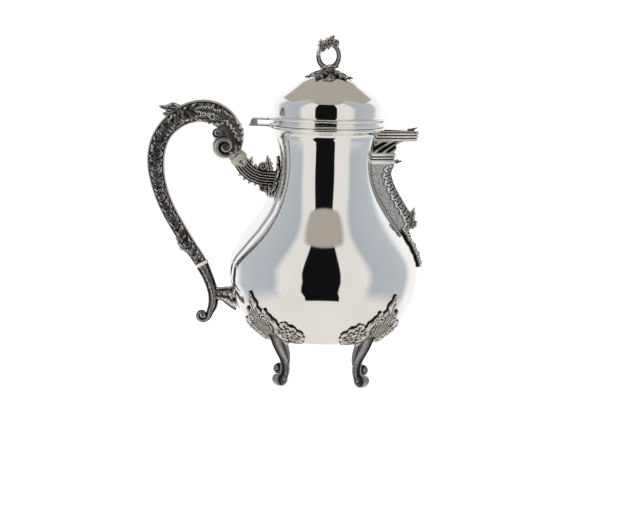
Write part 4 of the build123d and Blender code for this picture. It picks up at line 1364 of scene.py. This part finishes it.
def make_world():
    """A studio all round: pale walls, cool grey flats at both sides, a dark gap in front, warm cards overhead."""
    world = bpy.data.worlds.new("studio")
    bpy.context.scene.world = world
    world.use_nodes = True
    tree = world.node_tree
    tree.nodes.clear()
    way = node(tree, "ShaderNodeTexCoord")
    parts = node(tree, "ShaderNodeSeparateXYZ", {"Vector": way.outputs["Generated"]})
    east, north, upward = (parts.outputs[axis] for axis in "XYZ")
    azimuth = maths(tree, "ARCTAN2", east, maths(tree, "MULTIPLY", north, -1.0))
    up = maths(tree, "ADD", maths(tree, "ARCSINE", upward), VIEW_SLOPE)
    share = maths(tree, "DIVIDE", maths(tree, "ABSOLUTE", azimuth), math.pi)
    walls = ramp(tree, share, WALL_TONES)

    def limit(value, start, end):
        ends = {"Value": value, "From Min": start, "From Max": end}
        return node(tree, "ShaderNodeMapRange", ends, interpolation_type="SMOOTHSTEP").outputs["Result"]

    def band(value, start, end):
        return limit(value, math.radians(start), math.radians(end))

    def blend(factor, ground, colour):
        made = node(tree, "ShaderNodeMix", {"Factor": factor, 6: ground, 7: (*colour, 1.0)}, data_type="RGBA")
        return made.outputs[2]

    def times(first, second):
        return maths(tree, "MULTIPLY", first, second)

    steep = maths(tree, "MAXIMUM", upward, 0.02)
    behind = maths(tree, "DIVIDE", north, steep)
    aside = maths(tree, "ABSOLUTE", maths(tree, "DIVIDE", east, steep))
    corner = maths(tree, "MULTIPLY_ADD", aside, -0.5, behind)
    rear_edges = times(limit(behind, 0.02, 0.1), limit(behind, 2.1, 1.4))
    rear_card = times(limit(aside, 1.15, 1.0), times(limit(corner, -0.24, -0.14), rear_edges))
    middle_card = times(limit(aside, 0.46, 0.34), times(band(up, 61, 65), limit(behind, 0.4, 0.25)))
    sky = blend(maths(tree, "MAXIMUM", rear_card, middle_card), walls, CARD_TONE)
    ground = blend(band(up, -12, -30), sky, GROUND_TONE)
    across = times(band(azimuth, -27, -25), band(azimuth, 22, 20))
    tall = times(band(up, -31, -29), band(up, 65, 62))
    gap = blend(times(across, tall), ground, GAP_TONE)
    backdrop = node(tree, "ShaderNodeBackground", {"Color": gap, "Strength": 1.0})
    outlet = node(tree, "ShaderNodeOutputWorld")
    tree.links.new(backdrop.outputs["Background"], outlet.inputs["Surface"])


def make_floor():
    """A wide pale floor under the feet."""
    fresh()
    middle = (0, FLOOR_SIZE / 3, 0)
    bpy.ops.mesh.primitive_grid_add(x_subdivisions=8, y_subdivisions=8, size=FLOOR_SIZE, location=middle)
    floor = bpy.context.object
    floor.name = "floor"
    bpy.ops.object.transform_apply(location=True)
    material, _, shader = new_material("pale_floor")
    shader.inputs["Base Color"].default_value = (0.93, 0.93, 0.93, 1)
    shader.inputs["Roughness"].default_value = 0.9
    shader.inputs["Emission Color"].default_value = (1, 1, 1, 1)
    shader.inputs["Emission Strength"].default_value = 0.6
    floor.data.materials.append(material)
    floor.visible_glossy = False


def make_light(name, place_m, size, energy, aim=(0, 0, 0.12)):
    """A large soft lamp that mirrors don't show."""
    lamp = bpy.data.lights.new(name, "AREA")
    lamp.size = size
    lamp.energy = energy
    holder = bpy.data.objects.new(name, lamp)
    bpy.context.collection.objects.link(holder)
    holder.location = place_m
    holder.rotation_euler = (Vector(aim) - Vector(place_m)).to_track_quat("-Z", "Y").to_euler()
    holder.visible_glossy = False


CAMERA_AWAY = 3.0
VIEW_WIDTH = 0.529        # width of the picture at the pot's axis, metres
VIEW_MIDDLE = (-0.003, 0.0, 0.104)
ROLL = math.radians(1.43)


def make_camera():
    """Telephoto view from the pot's front and a little above it, leaning a little."""
    lens = bpy.data.cameras.new("camera")
    lens.sensor_width = 36.0
    lens.lens = lens.sensor_width * CAMERA_AWAY / VIEW_WIDTH
    lens.clip_end = 90.0
    camera = bpy.data.objects.new("camera", lens)
    bpy.context.collection.objects.link(camera)
    camera.rotation_euler = (math.pi / 2 - VIEW_SLOPE, -ROLL, 0)
    sight = camera.rotation_euler.to_matrix() @ Vector((0, 0, -1))
    camera.location = Vector(VIEW_MIDDLE) - sight * CAMERA_AWAY
    bpy.context.scene.camera = camera


make_world()
make_floor()
make_light("top_light", (0.0, -0.2, 2.2), 2.4, 26.0)
make_light("front_light", (-0.9, -1.6, 1.0), 1.2, 6.0)
make_camera()
bpy.context.scene.view_settings.view_transform = "Standard"
